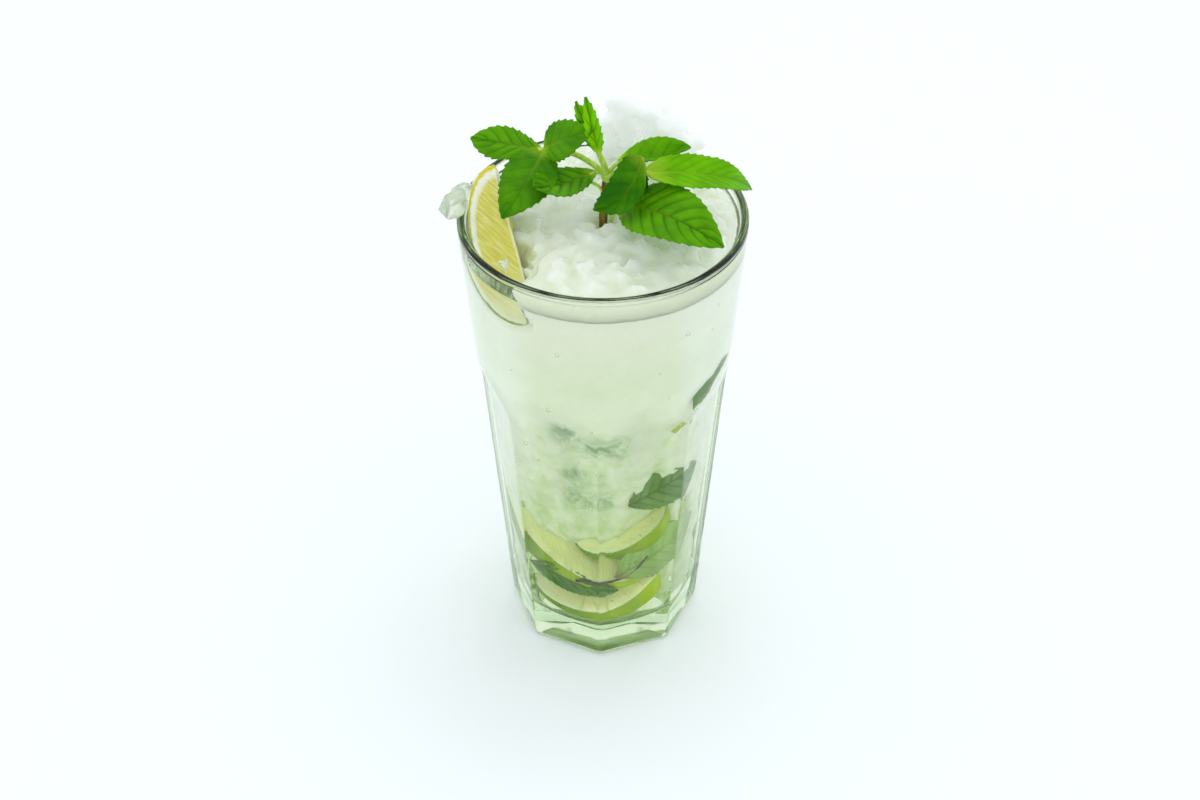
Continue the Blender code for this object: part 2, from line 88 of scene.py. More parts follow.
# contents
DRINK_LEVEL = 147.5 * MM
ICE_EDGE_HEIGHT = 152 * MM
FILM_TOP = 153 * MM
FILM_DEPTH = 0.9 * MM
INTO_WALL = 0.1 * MM  # how far the drink reaches into the wall, so that no air gap shows
DRINK_STEPS = 128
ICE_DOME_RISE = 5 * MM
MOUND_CENTRE = (12 * MM, 24 * MM, 154 * MM)
MOUND_RADII = (15 * MM, 9.5 * MM, 24 * MM)
CHUNK_SEED = 21
DOME_CHUNKS = 84
MOUND_CHUNKS = 24
CHUNK_SIZE = (3.8 * MM, 5.8 * MM)
DIP_CENTRE = (-30 * MM, -24 * MM, 157 * MM)
DIP_RADII = (13 * MM, 9 * MM, 8.3 * MM)
CHUNK_POINTS = 11
# lumps that show singly at the left of the rim and on the mound: centre and size in mm
PLACED_CHUNKS = (
    (-43.8, -2.5, 160.5, 6.2),
    (-40.5, 4.5, 158.5, 6.4),
    (-36, 11, 156.5, 6.4),
    (7, 24, 178, 7),
    (19.5, 24, 173, 7),
    (0, 24, 169.5, 6.5),
    (26, 24, 165, 6),
)
CHUNK_SPREAD = (1.15, 0.95, 0.8)
# small clear bits of ice: centre and size in mm; the first lies on the rim at the lime's foot
LOOSE_BITS = ((-27.9, -28.6, 157.2, 2.2), (-29.6, -26.6, 157, 1.3))
# where the lime's juice stains the ice yellow, with painted light that lightens the ice against the shade of
# the leaves above: centre and radius in mm
JUICE_STAIN_AND_LIGHT = (-18, -16, 154, 16)
# ice beside the foot of the lime on the rim: centre and size in mm
LIME_FOOT = ((-20.5, -16.5, 149.8, 3.6), (-20, -12, 150.8, 3.6), (-19, -20.5, 149, 3.6))
# the packed ice under the lumps: its rings as a share of the wall's radius, and how uneven it is
CORE_RINGS = (0, 0.2, 0.35, 0.5, 0.62, 0.74, 0.85, 0.93)
CORE_STEPS = 64
CORE_SWELL = 0.7 * MM
CORE_ROOM_FOR_LIME = 9 * MM
# small lumps between the large ones; the rise over the heap is in mm
FINE_SEED = 8
FINE_POINTS = 9
FINE_RISE = 2.5
GENTLE_PASSES = 4
# the front of the heap, where the lumps have melted together
SOFT_BELOW = 160 * MM
SOFT_BEFORE = 12 * MM
GOLDEN_ANGLE = math.pi * (3 - math.sqrt(5))

# slush: how far it stays off the wall by height, in mm, with the size and share of its clumps
SLUSH_INSET = ((12, 15), (20, 14), (40, 13), (58, 11), (72, 7), (90, 3), (125, 1.5), (148, 0.7))
SLUSH_RINGS = 136
SLUSH_STEPS = 200
SLUSH_CLUMPS = ((9, 1), (4, 0.5), (2, 0.25))
SLUSH_SWELL = 2.5 * MM
SLUSH_LEAST_SIDE = 3 * MM
SLUSH_ROOM_FOR_LIME = 13 * MM

# bubbles, between two heights in mm
BUBBLE_SEED = 3
BUBBLE_HEIGHTS = (14, 144)

# lime wedges: centre in mm, axis towards one end, the way of the rind in the seen cut face,
# radius and half length in mm, wedge angle in degrees, side of the seen face
RIM_LIME_AXIS = (-0.25, 0.49, 0.84)
RIM_LIME_TURN = math.radians(38)
RIM_LIME = ((-25.8, -16.5, 157), 16.5, 23.5, 55)
SUNK_LIMES = {
    "left": ((-7.4, -12, 41.2), (0.82, -0.39, -0.41), (-0.54, -0.75, -0.375), 15, 24, 62, -1),
    "right": ((6, -13.5, 49.5), (0.85, 0.15, 0.5), (0.1, -0.93, -0.25), 13, 14.5, 50, -1),
    "bottom": ((-1.8, -14, 25.8), (0.92, -0.28, 0.17), (0.01, -0.79, -0.62), 16, 21, 70, -1),
}

# mint leaves: base and tip in mm; the way the upper face looks; half width, bow and sideways bend in mm;
# fold of each half in degrees; widest point along the leaf; how strongly the veins quilt it and how dark
# their painted shade is; how light it is
LEAVES = {
    "left_far": ((-17, 2, 177), (-38.9, 11.5, 175), (0, -0.4, 0.9), 5.5, -1, 0.5, 4, 0.6, 0.7, 0.5),
    "left_upper": ((-17, 2, 177), (-2.7, -7.7, 190), (-0.5, -0.6, 0.6), 5.6, 2, 0, 5, 0.44, 0.35, 0.35),
    "left_lower": ((-17, 2, 177), (-28.9, -19, 167.5), (-0.1, -0.5, 0.87), 7.8, 1.5, -1, 4, 0.4, 0.35, 0.25),
    "middle": ((-2, -3, 172.5), (-19.7, -17.3, 176.8), (-0.2, -0.35, 0.93), 6.2, -2.5, 1.5, 10, 0.5, 1, 0.4),
    "right_upper": (
        (4.5, -2.5, 176.5), (25.5, -1, 179.5), (-0.15, -0.05, 1), 6.8, -4.5, -3.5, 40, 0.55, 0.4, 0.7,
    ),
    "right_long": ((12, -8, 175.5), (44.3, 6.5, 159.5), (0.55, -0.35, 0.75), 5.6, 8, 2, 22, 0.32, 0.45, 0.75),
    "right_lower": ((6, -9, 164.5), (34.5, -26, 162), (0, -0.2, 0.98), 11, 6.5, 2.5, 10, 0.4, 0.9, 0.5),
    "centre": ((11.5, -10, 182), (-2.6, -13.5, 166.5), (-0.5, -0.6, 0.6), 6.6, 2, -5, 22, 0.33, 0.5, 0.1),
    "centre_small": ((11, -7, 177), (7.5, -9, 164), (0.6, -0.7, 0.2), 3, 1, 0, 10, 0.45, 0.5, 0),
    "bud_right": ((-1, -6, 181), (-4.8, -1, 197), (0.45, -0.8, 0.3), 2.4, 2.5, -1.5, 16, 0.44, 0.8, 0.9),
    "bud_left": ((-1, -6, 181), (-7.6, -1, 195.5), (-0.5, -0.8, 0.2), 2.5, 0, 0, 12, 0.5, 0.8, 0.8),
}
SUNK_LEAVES = {
    "right": ((2.4, -26, 33.5), (26.5, -12.5, 48), (0.4, -0.85, 0.25), 10, 2.6, 1, 4, 0.52, 0.35, 0.9),
    "left": ((-22.5, -14.5, 31.6), (3.4, -25.4, 27), (-0.35, -0.9, -0.05), 5, 2, 0, 8, 0.5, 1, 0.1),
    "blurred": ((6, -21.5, 62), (26, -13.5, 71), (0.3, -0.9, 0.3), 7, 1, 0, 10, 0.5, 1, 0.3),
    "shoulder": ((34.4, -8, 110), (25, -23, 101), (0.4, 0.1, 0.9), 4.5, 2, 0, 10, 0.5, 0.6, 0.1),
}
# where mint deep in the ice shows through as dark patches: centre and radius in mm
DEEP_MINT = ((-10, -27, 96, 8), (1, -27, 92, 9), (-6, -22, 76, 7), (-5, -19, 65, 8))
SUNK_STEMS = {
    "brown": (
        [(-8.2, -24.6, 30.4), (-1.3, -26, 31.6), (2.5, -26, 32), (7.8, -25.2, 34), (13, -23, 40)], 0.55, 0.4,
    ),
    "yellow": ([(20.4, -25, 93.6), (23.4, -22.8, 97)], 1.1, 1),
}
LEAF_TIP_WIDTH = 0.35 * MM
LEAF_THICKNESS = 0.45 * MM
LEAF_ROWS = 72
LEAF_COLUMNS = 36
TOOTH_PITCH = 2.3 * MM
VEIN_PITCH = 4.2 * MM
VEIN_WIDTH = 0.4 * MM
MIDRIB_WIDTH = 0.45 * MM
RIPPLE = 0.35 * MM
RIPPLE_PITCH = 3.1 * MM

# centre line in mm, with the radius at the start and at the end in mm
STEMS = {
    "bud": ([(1.5, -3, 171), (0.4, -4.6, 176), (-1, -6, 181), (-2, -5.2, 184)], 0.95, 0.75),
    "left": (
        [(1.5, -3, 171), (-3.5, -1.5, 174.8), (-9, 0.2, 177), (-17, 2, 177), (-19, 1.8, 177.2)], 0.95, 0.7,
    ),
    "middle": ([(1.5, -3, 171), (-1, -2.8, 172.2), (-4, -4, 172.2)], 0.7, 0.5),
    "under_middle": ([(0.6, -3.5, 164.5), (-1.5, -4, 168.4), (-5.6, -5.4, 171.2)], 0.5, 0.45),
    "right_upper": ([(1.5, -3, 171), (3, -2.8, 174), (7, -2.6, 177)], 0.8, 0.5),
    "right_long": ([(1.5, -3, 171), (6, -5.4, 173.4), (12, -7.9, 175.4), (15, -7.2, 176)], 0.8, 0.5),
    "right_lower": ([(0.4, -3.8, 160), (3, -6, 162.6), (6, -9, 164.7), (9, -11, 166)], 0.7, 0.5),
    "centre": ([(1.5, -3, 171), (7, -6.5, 176.5), (11.3, -9.8, 181.4), (9.4, -10.8, 180.6)], 0.7, 0.5),
    "centre_small": ([(1.5, -3, 171), (6, -5, 175), (11, -7, 176.6), (10.6, -7.4, 174.6)], 0.6, 0.45),
    "bud_left": ([(-1, -6, 181), (-2.4, -5.6, 184)], 0.6, 0.4),
    "beside_main": ([(2.1, -5.4, 154.6), (2.7, -5.8, 158), (3.8, -7, 161.8)], 0.55, 0.5),
}
# centre, lowest height and radius of the hollow round the sprig's foot, in mm
STEM_HOLLOW = (1, -6, 152.5, 6)
MAIN_STEM = ([(0, -4.2, 153.2), (0.4, -3.8, 162), (1.5, -3, 171)], 1.25, 1.5)
JOINT = (1.5, -3, 171)
JOINT_RADIUS = 2 * MM

# stage: places in metres, turns in degrees
FLOOR_HALF = 6
FLOOR_DROP = 0.2 * MM
SOFTBOX_PLACE = (0.12, 0.25, 1.15)
SOFTBOX_TURN = (-12, 6)
SOFTBOX_SIZE = (0.45, 0.3)
CAMERA_PLACE = (-0.00113537, -0.5835, 0.5693)
CAMERA_TURN = (50.219634, -0.306576)


def linear(colour):
    """A six-digit sRGB hex colour as linear red, green, blue and alpha."""
    levels = [int(colour[at:at + 2], 16) / 255 for at in (0, 2, 4)]
    return (*[c / 12.92 if c <= 0.04045 else ((c + 0.055) / 1.055) ** 2.4 for c in levels], 1)


def colour_of(value):
    """A colour property as a socket takes it."""
    return (*value, 1)


def add(tree, kind, inputs=None, stops=None, **settings):
    """Add a node, set it, and give each input a value or a link from another node's output."""
    node = tree.nodes.new(kind)
    for name, value in settings.items():
        setattr(node, name, value)
    for key, value in (inputs or {}).items():
        if isinstance(value, bpy.types.NodeSocket):
            tree.links.new(value, node.inputs[key])
        else:
            node.inputs[key].default_value = value
    if stops:
        ramp = node.color_ramp
        while len(ramp.elements) < len(stops):
            ramp.elements.new(1)
        for element, (place, colour) in zip(ramp.elements, stops):
            element.position = place
            element.color = colour
    return node


def surface(name, **sockets):
    """A new material with a Principled shader, its constants set on the shader's own sockets."""
    made = bpy.data.materials.new(name)
    made.use_nodes = True
    tree = made.node_tree
    shader = tree.nodes["Principled BSDF"]
    for key, value in sockets.items():
        shader.inputs[key.replace("_", " ")].default_value = value
    return made, tree, shader


def mesh_of(work, name):
    """The mesh of a bmesh, smooth shaded."""
    mesh = bpy.data.meshes.new(name)
    work.to_mesh(mesh)
    work.free()
    mesh.shade_smooth()
    return mesh


def outwards(work):
    """Merge doubled vertices and turn every face outwards."""
    bmesh.ops.remove_doubles(work, verts=work.verts, dist=0.000002)
    bmesh.ops.recalc_face_normals(work, faces=work.faces)


def placed(name, mesh, materials, slot, *nodes):
    """A piece of the drink that rides on the one body, with its finish and the CAD nodes it stands for."""
    made = bpy.data.objects.new(name, mesh)
    bpy.context.scene.collection.objects.link(made)
    for material in materials:
        mesh.materials.append(material)
    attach(made, "root")
    if nodes:
        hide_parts(*nodes)
    return made


def applied(obj):
    """Put what the object's modifiers make into its mesh."""
    graph = bpy.context.evaluated_depsgraph_get()
    mesh = bpy.data.meshes.new_from_object(obj.evaluated_get(graph))
    obj.modifiers.clear()
    obj.data = mesh
    return obj


def spun(profile, steps):
    """A bmesh of revolution about Z from a profile of (radius, height)."""
    work = bmesh.new()
    points = [work.verts.new((radius, 0, height)) for radius, height in profile]
    for start, end in zip(points, points[1:]):
        work.edges.new((start, end))
    bmesh.ops.spin(
        work, geom=list(work.verts) + list(work.edges), cent=(0, 0, 0), axis=(0, 0, 1),
        angle=math.tau, steps=steps, use_merge=True,
    )
    outwards(work)
    return work


def outer_radius(height):
    """Radius of the tumbler's outer cone."""
    return min(BASE_RADIUS + OUTER_TAPER * height, RIM_RADIUS)


def cavity_radius(height):
    """Radius of the tumbler's round inside."""
    at_shoulder = CAVITY_RADIUS_AT_0 + CAVITY_TAPER_LOW * SHOULDER_HEIGHT
    if height < SHOULDER_HEIGHT:
        return CAVITY_RADIUS_AT_0 + CAVITY_TAPER_LOW * height
    share = (height - SHOULDER_HEIGHT) / (GLASS_HEIGHT - LIP_RADIUS - SHOULDER_HEIGHT)
    return at_shoulder + (RIM_RADIUS - 2 * LIP_RADIUS - at_shoulder) * min(share, 1)


def octagon_share(height):
    """Radius of the octagon's vertices as a share of the cone's, flaring out above the flats."""
    if height < FLARE_START:
        return VERTEX_SHARE
    across_flats = 1 / math.cos(math.pi / FLATS)
    rise = (height - FLARE_START) / (ARCH_TOP - FLARE_START)
    return VERTEX_SHARE + (across_flats - VERTEX_SHARE) * rise**FLARE_POWER


def outer_wall(angle, height, melt):
    """Radius of the outside: the cone met by eight flats, with the edges between them melted round."""
    cone = outer_radius(height)
    flat = octagon_share(height) * cone * math.cos(SECTOR / 2)
    offset = abs((angle - FACET_TURN) % SECTOR - SECTOR / 2)
    radii = (cone, flat / math.cos(offset), flat / math.cos(SECTOR - offset))
    least = min(radii)
    return least - melt * math.log(sum(math.exp((least - radius) / melt) for radius in radii))


def floor_profile(gap):
    """The cavity's floor and rounded corner, inset by a gap, from the axis outwards."""
    edge = cavity_radius(FLOOR_HEIGHT + FLOOR_CORNER) - FLOOR_CORNER
    points = [(0, FLOOR_HEIGHT + gap), (edge / 2, FLOOR_HEIGHT + gap)]
    for step in range(9):
        angle = math.pi / 2 * step / 8
        reach = FLOOR_CORNER - gap
        points.append((edge + reach * math.sin(angle), FLOOR_HEIGHT + FLOOR_CORNER - reach * math.cos(angle)))
    return points


def heap_height(x, y):
    """Top of the crushed ice, without its mound, above a place in plan."""
    share = min(math.hypot(x, y) / cavity_radius(ICE_EDGE_HEIGHT), 1)
    return ICE_EDGE_HEIGHT + ICE_DOME_RISE * (1 - share**2)


def dip_floor(point):
    """Height of the hollow's floor beside the lime under a point, or no limit away from it."""
    x, y = [(point[axis] - DIP_CENTRE[axis]) / DIP_RADII[axis] for axis in (0, 1)]
    share = x**2 + y**2
    return DIP_CENTRE[2] - DIP_RADII[2] * math.sqrt(1 - share) if share < 1 else math.inf


def stem_floor(point):
    """Height of the ice around the foot of the sprig, or no limit away from it."""
    away = (Vector(point).xy - Vector(STEM_HOLLOW[:2]) * MM).length / (STEM_HOLLOW[3] * MM)
    return (STEM_HOLLOW[2] + 5 * away**2) * MM if away < 1 else math.inf


def wedge_frame(centre, along, rind):
    """Axes of a lime wedge: X towards the rind in the seen cut face, Z along the fruit."""
    along = Vector(along).normalized()
    rind = Vector(rind)
    rind = (rind - rind.dot(along) * along).normalized()
    matrix = Matrix((rind, along.cross(rind), along)).transposed().to_4x4()
    matrix.translation = Vector(centre) * MM
    return matrix


def rim_lime_frame():
    """Axes of the wedge on the rim, and the side on which its seen face lies."""
    along = Vector(RIM_LIME_AXIS).normalized()
    outward = Vector((-1, 0, 0))
    outward = (outward - outward.dot(along) * along).normalized()
    facing = along.cross(outward)
    facing = -facing if facing.z < 0 else facing
    rind = outward * math.cos(RIM_LIME_TURN) - facing * math.sin(RIM_LIME_TURN)
    return wedge_frame(RIM_LIME[0], along, rind), (1 if along.cross(rind).dot(facing) > 0 else -1)


def leaf_frame(shape):
    """Base, chord, normal and side of a leaf, in metres."""
    base, tip = Vector(shape[0]) * MM, Vector(shape[1]) * MM
    chord = (tip - base).normalized()
    normal = Vector(shape[2]) - Vector(shape[2]).dot(chord) * chord
    normal.normalize()
    return base, tip, normal, chord.cross(normal)


def leaf_width(shape, along):
    """Half width of a leaf at a place from its base, 0, to its tip, 1."""
    skew = math.log(0.5) / math.log(shape[7])
    return max(shape[3] * MM * max(math.sin(math.pi * along**skew), 0) ** 0.75, LEAF_TIP_WIDTH)


def leaf_middle(shape, axes, along):
    """A point of the leaf's midrib."""
    base, tip, normal, side = axes
    arch = 4 * along * (1 - along)
    return base.lerp(tip, along) + normal * (arch * shape[4] * MM) + side * (arch * shape[5] * MM)


def leaf_points():
    """Points spread over all leaves, for keeping the ice clear of them."""
    points = []
    for shape in LEAVES.values():
        axes = leaf_frame(shape)
        fold = math.radians(shape[6])
        for step in range(9):
            width = leaf_width(shape, step / 8)
            middle = leaf_middle(shape, axes, step / 8)
            for across in (-1, -0.5, 0, 0.5, 1):
                out = axes[3] * (across * width * math.cos(fold))
                points.append(middle + out + axes[2] * (abs(across) * width * math.sin(fold)))
    foot, middle = [Vector(point) * MM for point in MAIN_STEM[0][:2]]
    return points + [foot.lerp(middle, 0.15 + 0.2 * step) for step in range(5)]


def lump(work, centre, size, rng, points, melt):
    """Add a broken lump of ice: the hull of a few points on a flattened ball, with melted edges."""
    made = bmesh.new()
    for _ in range(points):
        made.verts.new(Vector([rng.gauss(0, 1) for _ in range(3)]).normalized())
    bmesh.ops.convex_hull(made, input=made.verts)
    loose = [vert for vert in made.verts if not vert.link_faces]
    bmesh.ops.delete(made, geom=loose, context="VERTS")
    spread = Matrix.Diagonal((*CHUNK_SPREAD, 1))
    turn = Matrix.Rotation(rng.uniform(0, math.tau), 4, Vector((rng.random(), rng.random(), 1)))
    move = Matrix.Translation(centre)
    if melt:
        bmesh.ops.bevel(
            made, geom=made.edges, offset=melt, segments=2, profile=0.5, affect="EDGES", material=-1,
            clamp_overlap=True,
        )
    bmesh.ops.transform(made, matrix=move @ turn @ spread @ Matrix.Scale(size, 4), verts=made.verts)
    bmesh.ops.recalc_face_normals(made, faces=made.faces)
    held = bpy.data.meshes.new("lump")
    made.to_mesh(held)
    made.free()
    work.from_mesh(held)
    bpy.data.meshes.remove(held)


def chunk_places(points):
    """Centre and size of each large lump of the heap, kept clear of the leaves."""
    rng = random.Random(CHUNK_SEED)
    places = []
    dip = Vector(DIP_CENTRE).xy
    reach = cavity_radius(ICE_EDGE_HEIGHT) - 3.5 * MM
    for index in range(DOME_CHUNKS):
        radius = reach * math.sqrt((index + 0.5) / DOME_CHUNKS)
        angle = index * GOLDEN_ANGLE
        x, y = radius * math.cos(angle), radius * math.sin(angle)
        height = heap_height(x, y) + rng.uniform(-1.5, 0.3) * MM
        size = rng.uniform(*CHUNK_SIZE)
        if (Vector((x, y)) - dip).length > DIP_RADII[0]:
            places.append((Vector((x, y, height)), size))
    for index in range(MOUND_CHUNKS):
        rise = (index + 0.5) / MOUND_CHUNKS
        angle = index * GOLDEN_ANGLE
        spread = math.sqrt(1 - rise**2)
        offset = Vector((spread * math.cos(angle), spread * math.sin(angle), rise))
        scaled = Vector([a * b for a, b in zip(offset, MOUND_RADII)])
        places.append((Vector(MOUND_CENTRE) + scaled, rng.uniform(*CHUNK_SIZE)))
    for x, y, z, size in PLACED_CHUNKS:
        places.append((Vector((x, y, z)) * MM, size * MM))
    lowered = []
    for centre, size in places:
        while any((point - centre).length < CHUNK_SPREAD[0] * size + MM for point in points):
            centre = centre - Vector((0, 0, MM))
        lowered.append((centre, size))
    return lowered


def kept_in(mesh, gap):
    """Push what would come nearer to the tumbler's wall than the gap back inside it."""
    for vert in mesh.vertices:
        wall = cavity_radius(vert.co.z) - gap
        reach = vert.co.xy.length
        if reach > wall:
            vert.co.x *= wall / reach
            vert.co.y *= wall / reach


def slush_inset(height):
    """How far the slush stays off the wall at a height."""
    for (low, start), (high, end) in zip(SLUSH_INSET, SLUSH_INSET[1:]):
        if height <= high * MM:
            share = max((height / MM - low) / (high - low), 0)
            return (start + (end - start) * share) * MM
    return SLUSH_INSET[-1][1] * MM


def before_rim_lime(point):
    """How much a point in the drink hides the wedge on the rim: 1 before its middle, 0 clear of it."""
    matrix, upper = rim_lime_frame()
    local = matrix.inverted() @ point
    radius, half = RIM_LIME[1] * MM, RIM_LIME[2] * MM
    share = 1.1 - (local.x / radius) ** 2 - (local.z / half) ** 2
    return min(max(share * 2.5, 0), 1) if local.x > -3 * MM and local.y * upper > -4 * MM else 0


class TumblerSettings(bpy.types.PropertyGroup):
    """Pressed glass."""

    melt: FloatProperty(
        name="Edge melt", description="How far the edges of the flats are melted round", default=0.12 * MM,
        min=0.01 * MM, max=1 * MM, precision=5, subtype="DISTANCE", unit="LENGTH",
    )
    tint: FloatVectorProperty(
        name="Tint", description="Colour that a long way through the glass takes on", size=3, min=0, max=1,
        default=linear("C2E494")[:3], subtype="COLOR",
    )
    tint_depth: FloatProperty(
        name="Tint depth", description="How strongly the glass absorbs, per metre", default=14, min=0,
        max=200,
    )


class DrinkSettings(bpy.types.PropertyGroup):
    """The liquid and what is sunk in it."""

    tint: FloatVectorProperty(
        name="Tint", description="Colour of the lime juice in a long way through it", size=3, min=0, max=1,
        default=linear("D6E48A")[:3], subtype="COLOR",
    )
    tint_depth: FloatProperty(
        name="Tint depth", description="How strongly the drink absorbs, per metre", default=9, min=0, max=200,
    )
    bubbles: IntProperty(
        name="Bubbles", description="Bubbles that cling to the wall", default=150, min=0, max=600,
    )
    bubble_radius: FloatProperty(
        name="Bubble radius", description="Radius of the largest bubbles", default=0.75 * MM, min=0.1 * MM,
        max=2 * MM, precision=5, subtype="DISTANCE", unit="LENGTH",
    )


class IceSettings(bpy.types.PropertyGroup):
    """The heap of crushed ice."""

    melt: FloatProperty(
        name="Edge melt", description="Width of the melted edges as a share of a lump's size", default=0.2,
        min=0, max=0.3, subtype="FACTOR",
    )
    fine_lumps: IntProperty(
        name="Fine lumps", description="Small lumps between the large ones", default=480, min=0, max=2000,
    )
    fine_size: FloatProperty(
        name="Fine size", description="Radius of the largest of the small lumps", default=3 * MM, min=1 * MM,
        max=5 * MM, precision=5, subtype="DISTANCE", unit="LENGTH",
    )
    grain: FloatProperty(
        name="Grain", description="Finest step of the frozen mass", default=0.65 * MM, min=0.4 * MM,
        max=3 * MM, precision=5, subtype="DISTANCE", unit="LENGTH",
    )
    softening: IntProperty(
        name="Softening", description="How far the lumps before the sprig have melted together", default=5,
        min=0, max=60,
    )
    juice: FloatVectorProperty(
        name="Juice", description="Colour of the ice that the drink wets", size=3, min=0, max=1,
        default=linear("DCE6C2")[:3], subtype="COLOR",
    )
    drained: FloatVectorProperty(
        name="Drained", description="Colour of the ice high above the drink", size=3, min=0, max=1,
        default=linear("FCFFFF")[:3], subtype="COLOR",
    )


class LimeSettings(bpy.types.PropertyGroup):
    """Rind, pith and flesh."""

    rind_green: FloatVectorProperty(
        name="Rind green", description="Green of the rind", size=3, min=0, max=1,
        default=linear("8AA414")[:3], subtype="COLOR",
    )
    rind_yellow: FloatVectorProperty(
        name="Rind yellow", description="Riper side of the rind", size=3, min=0, max=1,
        default=linear("D2C818")[:3], subtype="COLOR",
    )
    flesh: FloatVectorProperty(
        name="Flesh", description="Juice sacs of the cut face", size=3, min=0, max=1,
        default=linear("D8D25C")[:3], subtype="COLOR",
    )
    pith: FloatVectorProperty(
        name="Pith", description="White layer under the rind", size=3, min=0, max=1,
        default=linear("EEF0DC")[:3], subtype="COLOR",
    )
    sunk_rind: FloatVectorProperty(
        name="Sunk rind", description="Rind of the wedges in the drink", size=3, min=0, max=1,
        default=linear("7A9E00")[:3], subtype="COLOR",
    )
    sunk_rind_ripe: FloatVectorProperty(
        name="Sunk riper rind", description="Riper rind of the wedges in the drink", size=3, min=0, max=1,
        default=linear("B8D200")[:3], subtype="COLOR",
    )
    # painted light: the sunk wedges' flesh and pith are painted paler than on the rim, to stand in for the
    # light that comes through the fruit in the drink
    sunk_flesh_painted_light: FloatVectorProperty(
        name="Sunk flesh", description="Soaked flesh of the wedges in the drink", size=3, min=0, max=1,
        default=linear("FFFFB8")[:3], subtype="COLOR",
    )
    sunk_pith_painted_light: FloatVectorProperty(
        name="Sunk pith", description="Soaked pith of the wedges in the drink", size=3, min=0, max=1,
        default=linear("FCFFD8")[:3], subtype="COLOR",
    )


class MintSettings(bpy.types.PropertyGroup):
    """Leaves and stems."""

    vein_depth: FloatProperty(
        name="Vein depth", description="How deep the veins lie in a leaf", default=0.32 * MM, min=0,
        max=1 * MM, precision=5, subtype="DISTANCE", unit="LENGTH",
    )
    tooth: FloatProperty(
        name="Tooth", description="Height of the teeth along the edge", default=0.65 * MM, min=0, max=2 * MM,
        precision=5, subtype="DISTANCE", unit="LENGTH",
    )
    dark: FloatVectorProperty(
        name="Dark green", description="Older leaves", size=3, min=0, max=1,
        default=linear("256600")[:3], subtype="COLOR",
    )
    bright: FloatVectorProperty(
        name="Bright green", description="Young leaves", size=3, min=0, max=1,
        default=linear("74C000")[:3], subtype="COLOR",
    )
    stalk: FloatVectorProperty(
        name="Stalk", description="Green stems and the foot of each leaf", size=3, min=0, max=1,
        default=linear("B8D83A")[:3], subtype="COLOR",
    )
    sodden_dark: FloatVectorProperty(
        name="Sodden dark green", description="Darker leaves that lie in the drink", size=3, min=0, max=1,
        default=linear("4A7C00")[:3], subtype="COLOR",
    )
    sodden_pale: FloatVectorProperty(
        name="Sodden pale green", description="Paler leaves that lie in the drink", size=3, min=0, max=1,
        default=linear("A8CA70")[:3], subtype="COLOR",
    )
    sodden_rib: FloatVectorProperty(
        name="Sodden rib", description="Midrib of the leaves that lie in the drink", size=3, min=0, max=1,
        default=linear("8A8048")[:3], subtype="COLOR",
    )


class StageSettings(bpy.types.PropertyGroup):
    """Floor, light and camera."""

    floor: FloatVectorProperty(
        name="Floor", description="Pale floor", size=3, min=0, max=1,
        default=linear("F7FBFF")[:3], subtype="COLOR",
    )
    sky: FloatProperty(
        name="Sky", description="Strength of the light from all round", default=1.03, min=0, max=5,
    )
    lamp: FloatProperty(
        name="Lamp", description="Power of the soft light overhead", default=1.0, min=0, max=500,
        unit="POWER",
    )
    lens: FloatProperty(
        name="Lens", description="Focal length in millimetres", default=72, min=10, max=300, unit="CAMERA",
    )


def pressed_glass(settings):
    """Soda-lime glass, pressed in a mould and fire polished: clear, and green in a long way through it."""
    made, tree, _ = surface(
        "soda_lime_glass", Base_Color=linear("FFFFFF"), Roughness=0.0, IOR=1.52, Transmission_Weight=1.0,
        Specular_Tint=linear("C0C0C0"),
    )
    absorption = add(tree, "ShaderNodeVolumeAbsorption", {
        "Color": colour_of(settings.tint), "Density": settings.tint_depth,
    })
    tree.links.new(absorption.outputs["Volume"], tree.nodes["Material Output"].inputs["Volume"])
    return made


def lime_water(settings):
    """Soda water with lime juice and sugar: clear, and yellow-green in a long way through it."""
    # it lies against the glass, so its own surface hardly mirrors anything
    made, tree, _ = surface(
        "lime_soda", Base_Color=linear("FFFFFF"), Roughness=0.0, IOR=1.34, Transmission_Weight=1.0,
        Specular_Tint=linear("000000"),
    )
    absorption = add(tree, "ShaderNodeVolumeAbsorption", {
        "Color": colour_of(settings.tint), "Density": settings.tint_depth,
    })
    tree.links.new(absorption.outputs["Volume"], tree.nodes["Material Output"].inputs["Volume"])
    return made


